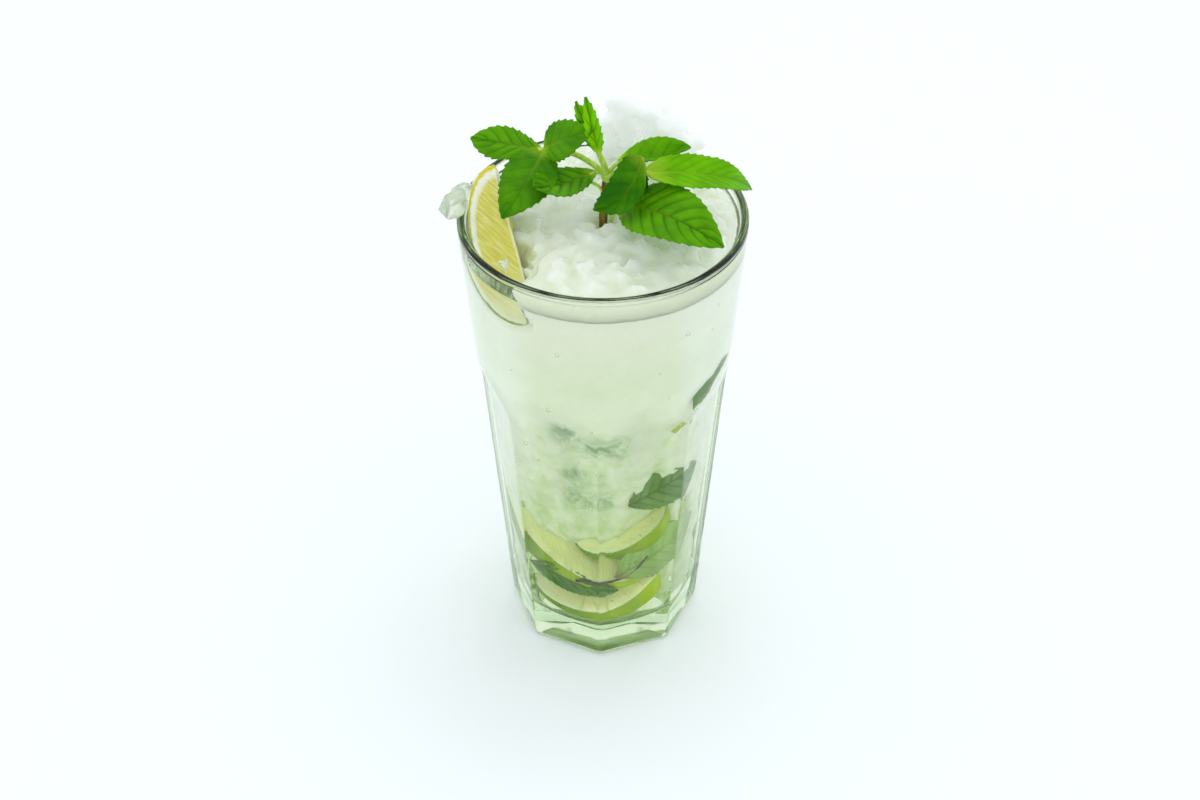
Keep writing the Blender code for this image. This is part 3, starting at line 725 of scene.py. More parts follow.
def frozen_slush():
    """Finely crushed ice with juice between its grains: cloudy, and painted whiter at both sides, where it
    lies close to the wall and light comes straight through.
    """
    made, tree, shader = surface(
        "ice_slush", Roughness=0.5, IOR=1.31, Subsurface_Weight=0.3, Subsurface_Scale=0.004,
        Subsurface_Radius=(1, 1, 0.8),
    )
    place = add(tree, "ShaderNodeTexCoord")
    split = add(tree, "ShaderNodeSeparateXYZ", {0: place.outputs["Object"]})
    height = add(tree, "ShaderNodeMapRange", {
        "Value": split.outputs["Z"], "From Min": 10 * MM, "From Max": 150 * MM,
    })
    # clumps of ice about 8 mm across, less plain in the thinner slush low down
    clump = add(tree, "ShaderNodeTexNoise", {
        "Vector": place.outputs["Object"], "Scale": 130, "Detail": 5, "Roughness": 0.62, "Distortion": 0.4,
    })
    contrast = add(tree, "ShaderNodeMapRange", {
        "Value": split.outputs["Z"], "From Min": 92 * MM, "From Max": 118 * MM, "To Min": 1.9, "To Max": 0.2,
    })
    centred = add(tree, "ShaderNodeMath", {0: clump.outputs["Fac"], 1: 0.5}, operation="SUBTRACT")
    shifted = add(tree, "ShaderNodeMath", {
        0: centred.outputs[0], 1: contrast.outputs[0],
    }, operation="MULTIPLY")
    mixed = add(tree, "ShaderNodeMath", {0: height.outputs[0], 1: shifted.outputs[0]}, operation="ADD")
    depth = add(tree, "ShaderNodeValToRGB", {"Fac": mixed.outputs[0]}, stops=[
        (0.0, linear("CCDEAA")), (0.3, linear("E2EECC")), (0.55, linear("F0F6E2")),
        (0.75, linear("EEF3E0")), (1.0, linear("F9F8EE")),
    ])
    # torn shreds of mint deep in the ice show through as dark patches
    deep = add(tree, "ShaderNodeAttribute", attribute_name="deep_mint")
    wisp = add(tree, "ShaderNodeTexNoise", {
        "Vector": place.outputs["Object"], "Scale": 190, "Detail": 5, "Roughness": 0.65, "Distortion": 0.8,
    })
    torn = add(tree, "ShaderNodeMapRange", {"Value": wisp.outputs["Fac"], "From Min": 0.34, "From Max": 0.72})
    patch = add(tree, "ShaderNodeMath", {0: deep.outputs["Fac"], 1: torn.outputs[0]}, operation="MULTIPLY")
    tone = add(tree, "ShaderNodeMix", {
        0: patch.outputs[0], 6: depth.outputs["Color"], 7: linear("7FA86C"),
    }, data_type="RGBA")
    # painted light: the slush is painted paler towards both sides, where the light comes straight through
    side = add(tree, "ShaderNodeMath", {0: split.outputs["X"]}, operation="ABSOLUTE")
    painted_light_share = add(tree, "ShaderNodeMapRange", {
        "Value": side.outputs[0], "From Min": 18 * MM, "From Max": 27 * MM, "To Min": 0, "To Max": 0.85,
    })
    painted_side_light = add(tree, "ShaderNodeMix", {
        0: painted_light_share.outputs[0], 6: tone.outputs[2], 7: linear("FDFFFA"),
    }, data_type="RGBA")
    tree.links.new(painted_side_light.outputs[2], shader.inputs["Base Color"])
    grain = add(tree, "ShaderNodeTexNoise", {
        "Vector": place.outputs["Object"], "Scale": 420, "Detail": 4, "Roughness": 0.6,
    })
    bump = add(tree, "ShaderNodeBump", {
        "Height": grain.outputs["Fac"], "Strength": 0.5, "Distance": 0.6 * MM,
    })
    tree.links.new(bump.outputs["Normal"], shader.inputs["Normal"])
    return made


def iced(name, settings, **sockets):
    """Crushed ice, wet with the drink: greenish low down, yellow with painted light beside the lime, white
    where it drained.
    """
    made, tree, shader = surface(name, IOR=1.31, **sockets)
    place = add(tree, "ShaderNodeTexCoord")
    split = add(tree, "ShaderNodeSeparateXYZ", {0: place.outputs["Object"]})
    drained = add(tree, "ShaderNodeMapRange", {
        "Value": split.outputs["Z"], "From Min": 152 * MM, "From Max": 168 * MM,
    })
    # patches of juice about 6 mm across
    patch = add(tree, "ShaderNodeTexNoise", {
        "Vector": place.outputs["Object"], "Scale": 160, "Detail": 4, "Roughness": 0.6,
    })
    wet = add(tree, "ShaderNodeValToRGB", {"Fac": patch.outputs["Fac"]}, stops=[
        (0.3, colour_of(settings.juice)), (0.5, linear("E6F0D4")), (0.7, linear("EEF6E0")),
    ])
    # yellow juice stain beside the lime, partly painted light: paler too, to offset the shade of the leaves
    # above
    to_lime = add(tree, "ShaderNodeVectorMath", {
        0: place.outputs["Object"], 1: Vector(JUICE_STAIN_AND_LIGHT[:3]) * MM,
    }, operation="DISTANCE")
    stain_and_light_share = add(tree, "ShaderNodeMapRange", {
        "Value": to_lime.outputs["Value"], "From Min": 3 * MM, "From Max": JUICE_STAIN_AND_LIGHT[3] * MM,
        "To Min": 0.6, "To Max": 0,
    })
    stained_and_lit = add(tree, "ShaderNodeMix", {
        0: stain_and_light_share.outputs[0], 6: wet.outputs["Color"], 7: linear("F0F4C8"),
    }, data_type="RGBA")
    tone = add(tree, "ShaderNodeMix", {
        0: drained.outputs[0], 6: stained_and_lit.outputs[2], 7: colour_of(settings.drained),
    }, data_type="RGBA")
    # pale again where it stands in the melt water
    sunk = add(tree, "ShaderNodeMapRange", {
        "Value": split.outputs["Z"], "From Min": FILM_TOP, "From Max": FILM_TOP - 2 * MM,
    })
    level = add(tree, "ShaderNodeMix", {
        0: sunk.outputs[0], 6: tone.outputs[2], 7: linear("EEF5D6"),
    }, data_type="RGBA")
    tree.links.new(level.outputs[2], shader.inputs["Base Color"])
    return made, tree, shader, patch


def wet_ice(settings):
    """A lump of crushed ice: clear skin with cloudy white ice inside, so light goes through only in part."""
    return iced("wet_crushed_ice", settings, Roughness=0.05, Transmission_Weight=0.72)[0]


def packed_ice(settings):
    """The packed ice under the lumps: white, with melt water between the grains."""
    made, tree, shader, patch = iced(
        "packed_ice", settings, Roughness=0.22, Subsurface_Weight=0.9, Subsurface_Scale=0.016,
        Subsurface_Radius=(1, 1, 0.9),
    )
    # broken faces about 4 mm across
    place = add(tree, "ShaderNodeTexCoord")
    facet = add(tree, "ShaderNodeTexVoronoi", {
        "Vector": place.outputs["Object"], "Scale": 260,
    }, distance="CHEBYCHEV")
    relief = add(tree, "ShaderNodeMath", {
        0: facet.outputs["Distance"], 1: patch.outputs["Fac"],
    }, operation="ADD")
    bump = add(tree, "ShaderNodeBump", {"Height": relief.outputs[0], "Strength": 0.35, "Distance": 1.2 * MM})
    tree.links.new(bump.outputs["Normal"], shader.inputs["Normal"])
    return made


def lime_rind(name, green, yellow, wax):
    """Lime peel: waxy, green turning yellow, dimpled by oil glands a little over a millimetre apart."""
    made, tree, shader = surface(
        name, Roughness=0.32, IOR=1.45, Specular_IOR_Level=wax, Coat_Weight=0.6 * wax, Coat_Roughness=0.2,
    )
    fruit = add(tree, "ShaderNodeAttribute", attribute_name="fruit")
    gland = add(tree, "ShaderNodeTexVoronoi", {"Vector": fruit.outputs["Vector"], "Scale": 0.85})
    blotch = add(tree, "ShaderNodeTexNoise", {"Vector": fruit.outputs["Vector"], "Scale": 0.12, "Detail": 3})
    split = add(tree, "ShaderNodeSeparateXYZ", {0: fruit.outputs["Vector"]})
    ripe = add(tree, "ShaderNodeMapRange", {"Value": split.outputs["Z"], "From Min": -12, "From Max": 22})
    lean = add(tree, "ShaderNodeMath", {0: blotch.outputs["Fac"], 1: 0.8, 2: -0.4}, operation="MULTIPLY_ADD")
    both = add(tree, "ShaderNodeMath", {
        0: ripe.outputs[0], 1: lean.outputs[0],
    }, operation="ADD", use_clamp=True)
    tone = add(tree, "ShaderNodeMix", {
        0: both.outputs[0], 6: colour_of(green), 7: colour_of(yellow),
    }, data_type="RGBA")
    tree.links.new(tone.outputs[2], shader.inputs["Base Color"])
    bump = add(tree, "ShaderNodeBump", {
        "Height": gland.outputs["Distance"], "Strength": 0.35, "Distance": 0.3 * MM,
    })
    tree.links.new(bump.outputs["Normal"], shader.inputs["Normal"])
    return made


def lime_cut_face(name, radius, half_length, flesh, pith, skins, contrast):
    """The cut face of a lime: a thin line of rind, white pith, and juice sacs that fan out from the core."""
    made, tree, shader = surface(
        name, Roughness=0.28, IOR=1.36, Subsurface_Weight=0.35, Subsurface_Scale=0.002,
        Subsurface_Radius=(1, 1, 0.4),
    )
    fruit = add(tree, "ShaderNodeAttribute", attribute_name="fruit")
    split = add(tree, "ShaderNodeSeparateXYZ", {0: fruit.outputs["Vector"]})
    scaled = add(tree, "ShaderNodeVectorMath", {
        0: fruit.outputs["Vector"], 1: (1 / radius, 1 / radius, 1 / half_length),
    }, operation="MULTIPLY")
    reach = add(tree, "ShaderNodeVectorMath", {0: scaled.outputs[0]}, operation="LENGTH")
    ragged = add(tree, "ShaderNodeTexNoise", {"Vector": fruit.outputs["Vector"], "Scale": 0.5, "Detail": 3})
    wander = add(tree, "ShaderNodeMath", {
        0: ragged.outputs["Fac"], 1: 0.07, 2: -0.035,
    }, operation="MULTIPLY_ADD")
    edge = add(tree, "ShaderNodeMath", {0: reach.outputs["Value"], 1: wander.outputs[0]}, operation="ADD")
    # the pith thins out towards the lower end
    thin = add(tree, "ShaderNodeMapRange", {
        "Value": split.outputs["Z"], "From Min": -0.4 * half_length, "From Max": -0.9 * half_length,
        "To Min": 0, "To Max": 0.06,
    })
    inward = add(tree, "ShaderNodeMath", {0: edge.outputs[0], 1: thin.outputs[0]}, operation="SUBTRACT")
    # juice sacs about 1 mm thick lie along a slant from the core to the rind
    slant = add(tree, "ShaderNodeMapping", {
        "Vector": fruit.outputs["Vector"], "Rotation": (0, math.radians(-45), 0), "Scale": (7, 1.2, 0.8),
    }, vector_type="TEXTURE")
    sac = add(tree, "ShaderNodeTexNoise", {
        "Vector": slant.outputs[0], "Scale": 1, "Detail": 3, "Roughness": 0.55, "Distortion": 0.3,
    })
    deep = [c * (1 - 0.35 * contrast) for c in flesh]
    pale = [c + (1 - c) * 0.45 * contrast for c in flesh]
    juicy = add(tree, "ShaderNodeValToRGB", {"Fac": sac.outputs["Fac"]}, stops=[
        (0.32, colour_of(deep)), (0.5, colour_of(flesh)), (0.68, colour_of(pale)),
    ])
    layers = add(tree, "ShaderNodeValToRGB", {"Fac": inward.outputs[0]}, stops=[
        (0.81, (0, 0, 0, 1)), (0.88, (1, 1, 1, 1)),
    ])
    core = add(tree, "ShaderNodeMapRange", {
        "Value": split.outputs["X"], "From Min": 0.2, "From Max": 0.9, "To Min": 0.7, "To Max": 0,
    })
    white = add(tree, "ShaderNodeMath", {0: layers.outputs["Color"], 1: core.outputs[0]}, operation="MAXIMUM")
    inner = add(tree, "ShaderNodeMix", {
        0: white.outputs[0], 6: juicy.outputs["Color"], 7: colour_of(pith),
    }, data_type="RGBA")
    # the drink has washed the lower end pale
    bleach = add(tree, "ShaderNodeMapRange", {
        "Value": split.outputs["Z"], "From Min": -0.35 * half_length, "From Max": -0.75 * half_length,
        "To Min": 0, "To Max": 0.55,
    })
    washed = add(tree, "ShaderNodeMix", {
        0: bleach.outputs[0], 6: inner.outputs[2], 7: colour_of(pith),
    }, data_type="RGBA")
    ripe = add(tree, "ShaderNodeMapRange", {"Value": split.outputs["Z"], "From Min": -10, "From Max": 20})
    peel = add(tree, "ShaderNodeMix", {
        0: ripe.outputs[0], 6: colour_of(skins[0]), 7: colour_of(skins[1]),
    }, data_type="RGBA")
    skin = add(tree, "ShaderNodeMapRange", {"Value": edge.outputs[0], "From Min": 0.93, "From Max": 0.96})
    tone = add(tree, "ShaderNodeMix", {
        0: skin.outputs[0], 6: washed.outputs[2], 7: peel.outputs[2],
    }, data_type="RGBA")
    tree.links.new(tone.outputs[2], shader.inputs["Base Color"])
    bump = add(tree, "ShaderNodeBump", {"Height": sac.outputs["Fac"], "Strength": 0.6, "Distance": 0.6 * MM})
    tree.links.new(bump.outputs["Normal"], shader.inputs["Normal"])
    return made


def mint_leaf(name, roughness, dark, bright, rib):
    """A mint leaf: a waxy skin over green tissue, with sunken veins whose grooves get painted shade, fine
    quilting and a paler foot.
    """
    made, tree, shader = surface(
        name, Roughness=roughness, IOR=1.42, Specular_IOR_Level=0.08, Subsurface_Weight=0.25,
        Subsurface_Scale=0.0006, Subsurface_Radius=(0.6, 1, 0.2),
    )
    tone = add(tree, "ShaderNodeAttribute", attribute_name="tone")
    vein = add(tree, "ShaderNodeAttribute", attribute_name="vein")
    foot = add(tree, "ShaderNodeAttribute", attribute_name="foot")
    lay = add(tree, "ShaderNodeUVMap", uv_map="lay")
    blotch = add(tree, "ShaderNodeTexNoise", {"Vector": lay.outputs["UV"], "Scale": 120, "Detail": 4})
    lean = add(tree, "ShaderNodeMath", {0: blotch.outputs["Fac"], 1: 0.9, 2: -0.45}, operation="MULTIPLY_ADD")
    level = add(tree, "ShaderNodeMath", {
        0: tone.outputs["Fac"], 1: lean.outputs[0],
    }, operation="ADD", use_clamp=True)
    green = add(tree, "ShaderNodeMix", {
        0: level.outputs[0], 6: colour_of(dark), 7: colour_of(bright),
    }, data_type="RGBA")
    # painted shade: the veins are painted darker than the leaf, for the shade that falls in their grooves
    vein_groove_shade = [c * 0.5 for c in dark]
    vein_shaded = add(tree, "ShaderNodeMix", {
        0: vein.outputs["Fac"], 6: green.outputs[2], 7: colour_of(vein_groove_shade),
    }, data_type="RGBA")
    footed = add(tree, "ShaderNodeMix", {
        0: foot.outputs["Fac"], 6: vein_shaded.outputs[2], 7: colour_of(rib),
    }, data_type="RGBA")
    tree.links.new(footed.outputs[2], shader.inputs["Base Color"])
    # the finest net of veins is about 1 mm wide
    net = add(tree, "ShaderNodeTexVoronoi", {
        "Vector": lay.outputs["UV"], "Scale": 700,
    }, feature="DISTANCE_TO_EDGE")
    bump = add(tree, "ShaderNodeBump", {
        "Height": net.outputs["Distance"], "Strength": 0.7, "Distance": 0.3 * MM,
    })
    tree.links.new(bump.outputs["Normal"], shader.inputs["Normal"])
    return made


def mint_stalk(name, low, high):
    """A fresh stem: smooth, faintly ribbed along its length."""
    made, tree, shader = surface(
        name, Roughness=0.4, IOR=1.42, Specular_IOR_Level=0.2, Subsurface_Weight=0.2, Subsurface_Scale=0.001,
        Subsurface_Radius=(0.8, 1, 0.3),
    )
    place = add(tree, "ShaderNodeTexCoord")
    long = add(tree, "ShaderNodeMapping", {"Vector": place.outputs["Object"], "Scale": (1, 1, 0.15)})
    rib = add(tree, "ShaderNodeTexNoise", {"Vector": long.outputs[0], "Scale": 900, "Detail": 2})
    tone = add(tree, "ShaderNodeValToRGB", {"Fac": rib.outputs["Fac"]}, stops=[(0.35, low), (0.65, high)])
    tree.links.new(tone.outputs["Color"], shader.inputs["Base Color"])
    bump = add(tree, "ShaderNodeBump", {"Height": rib.outputs["Fac"], "Strength": 0.4, "Distance": 0.3 * MM})
    tree.links.new(bump.outputs["Normal"], shader.inputs["Normal"])
    return made


class DRINK_OT_tumbler(bpy.types.Operator):
    """Build the pressed glass"""

    bl_idname = "drink.tumbler"
    bl_label = "Tumbler"

    def execute(self, context):
        settings = context.scene.drink_tumbler
        inside = floor_profile(0)
        inside += [(cavity_radius(h * MM), h * MM) for h in (*INSIDE_HEIGHTS, ABOVE_ARCHES[0])]
        lip_centre = RIM_RADIUS - LIP_RADIUS
        lip = []
        for step in range(1, 10):
            angle = math.pi * (1 - step / 10)
            height = GLASS_HEIGHT - LIP_RADIUS + LIP_RADIUS * math.sin(angle)
            lip.append((lip_centre + LIP_RADIUS * math.cos(angle), height))
        arches = [ARCH_FIRST - ARCH_STEP * step for step in range(ARCH_STEPS)]
        outside = [(outer_radius(h * MM), h * MM) for h in (*ABOVE_ARCHES, *arches, *BELOW_ARCHES)]
        for step in range(5):
            angle = math.pi / 2 * step / 4
            inset = BASE_BEVEL * (1 - math.cos(angle))
            outside.append((outer_radius(0) - inset, BASE_BEVEL * (1 - math.sin(angle))))
        # the mould leaves the underside a little hollow inside the ring it stands on
        under = [(outer_radius(0) * share, rise * MM) for share, rise in UNDERSIDE]
        work = spun(inside + lip + outside + under, FLATS * STEPS_PER_FLAT)
        for vert in work.verts:
            radius, height = vert.co.xy.length, vert.co.z
            if radius < 1e-6:
                continue
            phase = (math.atan2(vert.co.y, vert.co.x) % math.tau) / SECTOR
            whole = math.floor(phase + 1e-6)
            eased = 0.5 - 0.5 * math.cos(math.pi * (phase - whole))
            angle = (whole + eased) * SECTOR + FACET_TURN
            if height < FLOOR_HEIGHT - MM or radius > cavity_radius(height) + MM:
                radius *= outer_wall(angle, height, settings.melt) / outer_radius(height)
            vert.co = (radius * math.cos(angle), radius * math.sin(angle), height)
        placed("tumbler", mesh_of(work, "tumbler"), [pressed_glass(settings)], "clear_glass", "glass")
        return {"FINISHED"}


class DRINK_OT_liquid(bpy.types.Operator):
    """Pour the drink, so that it reaches just into the wall"""

    bl_idname = "drink.liquid"
    bl_label = "Liquid"

    def execute(self, context):
        settings = context.scene.drink_liquid
        profile = floor_profile(-INTO_WALL)
        profile += [(cavity_radius(h * MM) + INTO_WALL, h * MM) for h in INSIDE_HEIGHTS]
        # melt water fills the gap between the wall and the ice, up to the ice's edge
        profile += [(cavity_radius(h) + INTO_WALL, h) for h in (DRINK_LEVEL, ICE_EDGE_HEIGHT, FILM_TOP)]
        inner = (FILM_TOP - 0.2 * MM, DRINK_LEVEL + 0.5 * MM)
        profile += [(cavity_radius(h) - FILM_DEPTH, h) for h in inner]
        edge = cavity_radius(DRINK_LEVEL)
        profile += [(edge - 2 * MM, DRINK_LEVEL), (edge * 0.5, DRINK_LEVEL), (0, DRINK_LEVEL)]
        work = spun(profile, DRINK_STEPS)
        placed("lime_drink", mesh_of(work, "lime_drink"), [lime_water(settings)], "lime_drink", "drink")
        return {"FINISHED"}


class DRINK_OT_sunk_ice(bpy.types.Operator):
    """Fill the drink with crushed ice: a cloudy body that swells in clumps behind the wall"""

    bl_idname = "drink.sunk_ice"
    bl_label = "Sunk ice"

    def execute(self, context):
        heights = [SLUSH_INSET[0][0] * MM + step * MM for step in range(SLUSH_RINGS)]
        profile = [(0, heights[0])]
        profile += [(cavity_radius(h) - slush_inset(h), h) for h in heights]
        profile += [(cavity_radius(heights[-1]) * 0.7, heights[-1]), (0, heights[-1])]
        work = spun(profile, SLUSH_STEPS)
        deep = work.verts.layers.float.new("deep_mint")
        for vert in work.verts:
            if vert.co.xy.length < 5 * MM:
                continue
            cell = sum(noise.noise(vert.co / (size * MM)) * share for size, share in SLUSH_CLUMPS)
            out = Vector((vert.co.x, vert.co.y, 0)).normalized()
            inset = slush_inset(vert.co.z)
            # the slush lies closer to the wall at both sides than before the limes
            vert.co += out * (max(inset - SLUSH_LEAST_SIDE, 0) * 0.8 * abs(out.x) ** 3)
            vert.co += out * (cell * min(inset * 0.45, SLUSH_SWELL))
            vert.co -= out * (before_rim_lime(vert.co) * SLUSH_ROOM_FOR_LIME)
            for *centre, radius in DEEP_MINT:
                near = 1 - (vert.co - Vector(centre) * MM).length / (radius * MM)
                vert[deep] = max(vert[deep], min(near * 2, 1))
        placed("ice_slush", mesh_of(work, "ice_slush"), [frozen_slush()], "ice")
        return {"FINISHED"}


class DRINK_OT_ice_heap(bpy.types.Operator):
    """Heap crushed ice above the drink"""

    bl_idname = "drink.ice_heap"
    bl_label = "Ice heap"

    def execute(self, context):
        settings = context.scene.drink_ice
        low = DRINK_LEVEL - 2 * MM
        wall = cavity_radius(DRINK_LEVEL) - 0.3 * MM
        profile = [(share * wall, heap_height(share * wall, 0) + MM) for share in CORE_RINGS]
        # its edge stands in the film of melt water
        top = FILM_TOP - 0.3 * MM
        profile += [(cavity_radius(top) - 0.3 * MM, top), (wall, DRINK_LEVEL)]
        profile += [(wall - 0.5 * MM, low), (0, low)]
        work = spun(profile, CORE_STEPS)
        bmesh.ops.subdivide_edges(work, edges=work.edges, cuts=1, use_grid_fill=True)
        mound = bmesh.ops.create_uvsphere(work, u_segments=40, v_segments=24, radius=1)["verts"]
        bmesh.ops.scale(work, vec=[radius - MM for radius in MOUND_RADII], verts=mound)
        bmesh.ops.translate(work, vec=MOUND_CENTRE, verts=mound)
        for vert in work.verts:
            if vert.co.z > low + MM and vert.co.xy.length < wall - MM:
                cell = noise.noise(vert.co / (5 * MM)) + 0.6 * noise.noise(vert.co / (2.4 * MM))
                vert.co += vert.normal * cell * CORE_SWELL
                vert.co.z = min(vert.co.z, dip_floor(vert.co), stem_floor(vert.co))
            if vert.co.xy.length > 5 * MM:
                out = Vector((vert.co.x, vert.co.y, 0)).normalized()
                vert.co -= out * (before_rim_lime(vert.co) * CORE_ROOM_FOR_LIME)
        rng = random.Random(CHUNK_SEED)
        for x, y, z, size in LIME_FOOT:
            lump(work, Vector((x, y, z)) * MM, size * MM, rng, CHUNK_POINTS, settings.melt)

        points = leaf_points()
        rng = random.Random(CHUNK_SEED)
        clear = bmesh.new()
        for centre, size in chunk_places(points):
            if centre.z < dip_floor(centre):
                hangs_out = centre.x < 4 * MM - cavity_radius(ICE_EDGE_HEIGHT)
                lump(clear if hangs_out else work, centre, size, rng, CHUNK_POINTS, settings.melt)
        fine = random.Random(FINE_SEED)
        for index in range(settings.fine_lumps):
            size = fine.uniform(0.45, 1) * settings.fine_size
            if index % 4:
                radius = (cavity_radius(ICE_EDGE_HEIGHT) - size * 1.2) * math.sqrt(fine.random())
                angle = fine.uniform(0, math.tau)
                x, y = radius * math.cos(angle), radius * math.sin(angle)
                centre = Vector((x, y, heap_height(x, y) + fine.uniform(0, FINE_RISE) * MM))
                centre.z = min(centre.z, dip_floor(centre) - size / 2)
            else:
                way = Vector([fine.gauss(0, 1) for _ in range(3)]).normalized()
                way.z = abs(way.z)
                reach = [radius + fine.uniform(0, FINE_RISE) * MM for radius in MOUND_RADII]
                centre = Vector(MOUND_CENTRE) + Vector([a * b for a, b in zip(way, reach)])
            if any((point - centre).length < size + MM for point in points) or before_rim_lime(centre) > 0.2:
                continue
            # below the rim none may reach the wall
            if centre.z < GLASS_HEIGHT + MM and centre.xy.length > cavity_radius(centre.z) - size * 1.2:
                continue
            lump(work, centre, size, fine, FINE_POINTS, settings.melt)
        for x, y, z, size in LOOSE_BITS:
            lump(clear, Vector((x, y, z)) * MM, size * MM, fine, CHUNK_POINTS, settings.melt)
        heap = placed("packed_ice", mesh_of(work, "packed_ice"), [packed_ice(settings)], "ice", "crushed_ice")
        # the lumps freeze together into one mass with softened edges
        melted = heap.modifiers.new("frozen_together", "REMESH")
        melted.mode = "VOXEL"
        melted.voxel_size = settings.grain
        melted.use_smooth_shade = True
        applied(heap)
        # the lumps before the sprig have melted to a soft surface, those of the mound stay rough
        work = bmesh.new()
        work.from_mesh(heap.data)
        front = [vert for vert in work.verts if vert.co.z < SOFT_BELOW and vert.co.y < SOFT_BEFORE]
        for verts, passes in ((work.verts, GENTLE_PASSES), (front, settings.softening)):
            for _ in range(passes):
                bmesh.ops.smooth_vert(
                    work, verts=verts, factor=0.5, use_axis_x=True, use_axis_y=True, use_axis_z=True
                )
        work.to_mesh(heap.data)
        work.free()
        mesh = mesh_of(clear, "crushed_ice_lumps")
        mesh.set_sharp_from_angle(angle=math.radians(5))
        placed("crushed_ice_lumps", mesh, [wet_ice(settings)], "ice")
        return {"FINISHED"}


def wedge_mesh(name, matrix, radius, half_length, wedge_degrees, upper):
    """A wedge of lime with ringed cut faces, and its place in the fruit as an attribute."""
    work = bmesh.new()
    bmesh.ops.create_uvsphere(work, u_segments=96, v_segments=48, radius=1)
    bmesh.ops.scale(work, vec=(radius * MM, radius * MM, half_length * MM), verts=work.verts)
    seen = Vector((0, upper, 0))
    hidden = -(Matrix.Rotation(-upper * math.radians(wedge_degrees), 3, "Z") @ seen)
    for normal in (seen, hidden):
        every = list(work.verts) + list(work.edges) + list(work.faces)
        bmesh.ops.bisect_plane(work, geom=every, plane_co=(0, 0, 0), plane_no=normal, clear_outer=True)
        filled = bmesh.ops.holes_fill(work, edges=[edge for edge in work.edges if edge.is_boundary])["faces"]
        for face in filled:
            face.material_index = 1
    bmesh.ops.recalc_face_normals(work, faces=work.faces)
    # rings of the cut face as a share of its size, with their height over it in mm: rind, pith, flesh
    for face in [face for face in work.faces if face.material_index == 1]:
        face.normal_update()
        middle, normal = face.calc_center_median(), face.normal.copy()
        for share, rise in ((0.97, 0.15), (0.96, 0), (0.93, -0.25), (0.85, 0.15), (0.7, 0.1), (0.5, 0)):
            bmesh.ops.inset_individual(work, faces=[face], thickness=0, depth=0)
            for vert in face.verts:
                vert.co = middle + (vert.co - middle) * share + normal * (rise * MM)
        bmesh.ops.poke(work, faces=[face])
    for face in work.faces:
        face.smooth = True
    fruit = work.verts.layers.float_vector.new("fruit")
    for vert in work.verts:
        vert[fruit] = vert.co / MM
    bmesh.ops.transform(work, matrix=matrix, verts=work.verts)
    mesh = bpy.data.meshes.new(name)
    work.to_mesh(mesh)
    work.free()
    mesh.set_sharp_from_angle(angle=math.radians(50))
    return mesh


class DRINK_OT_rim_lime(bpy.types.Operator):
    """Set the lime wedge on the rim, its rind pressed against the wall"""

    bl_idname = "drink.rim_lime"
    bl_label = "Lime on the rim"

    def execute(self, context):
        settings = context.scene.drink_lime
        matrix, upper = rim_lime_frame()
        mesh = wedge_mesh("lime_on_rim", matrix, *RIM_LIME[1:], upper)
        for vert in mesh.vertices:
            spot = vert.co
            wall = cavity_radius(spot.z) - GAP
            reach = spot.xy.length
            if spot.z < GLASS_HEIGHT + GAP and reach > wall:
                spot.x *= wall / reach
                spot.y *= wall / reach
        skins = (settings.rind_green, settings.rind_yellow)
        face = lime_cut_face("lime_cut_face", *RIM_LIME[1:3], settings.flesh, settings.pith, skins, 0.5)
        placed("lime_on_rim", mesh, [lime_rind("lime_rind", *skins, 0.5), face], "lime", "lime_wedge")
        return {"FINISHED"}


class DRINK_OT_sunk_limes(bpy.types.Operator):
    """Sink the lime wedges in the drink"""

    bl_idname = "drink.sunk_limes"
    bl_label = "Sunk limes"

    def execute(self, context):
        settings = context.scene.drink_lime
        skins = (settings.sunk_rind, settings.sunk_rind_ripe)
        # wax hardly shines in the drink, which bends light nearly as much
        rind = lime_rind("sunk_lime_rind", *skins, 0.04)
        for name, (centre, along, out, radius, half, wedge, upper) in SUNK_LIMES.items():
            matrix = wedge_frame(centre, along, out)
            mesh = wedge_mesh("sunk_lime_" + name, matrix, radius, half, wedge, upper)
            kept_in(mesh, LIME_GAP)
            # the sunk cut faces take the paler flesh and pith, which is painted light
            face = lime_cut_face(
                "sunk_cut_face_" + name, radius, half, settings.sunk_flesh_painted_light, settings.sunk_pith_painted_light, skins, 0.35
            )
            placed("sunk_lime_" + name, mesh, [rind, face], "lime")
        return {"FINISHED"}


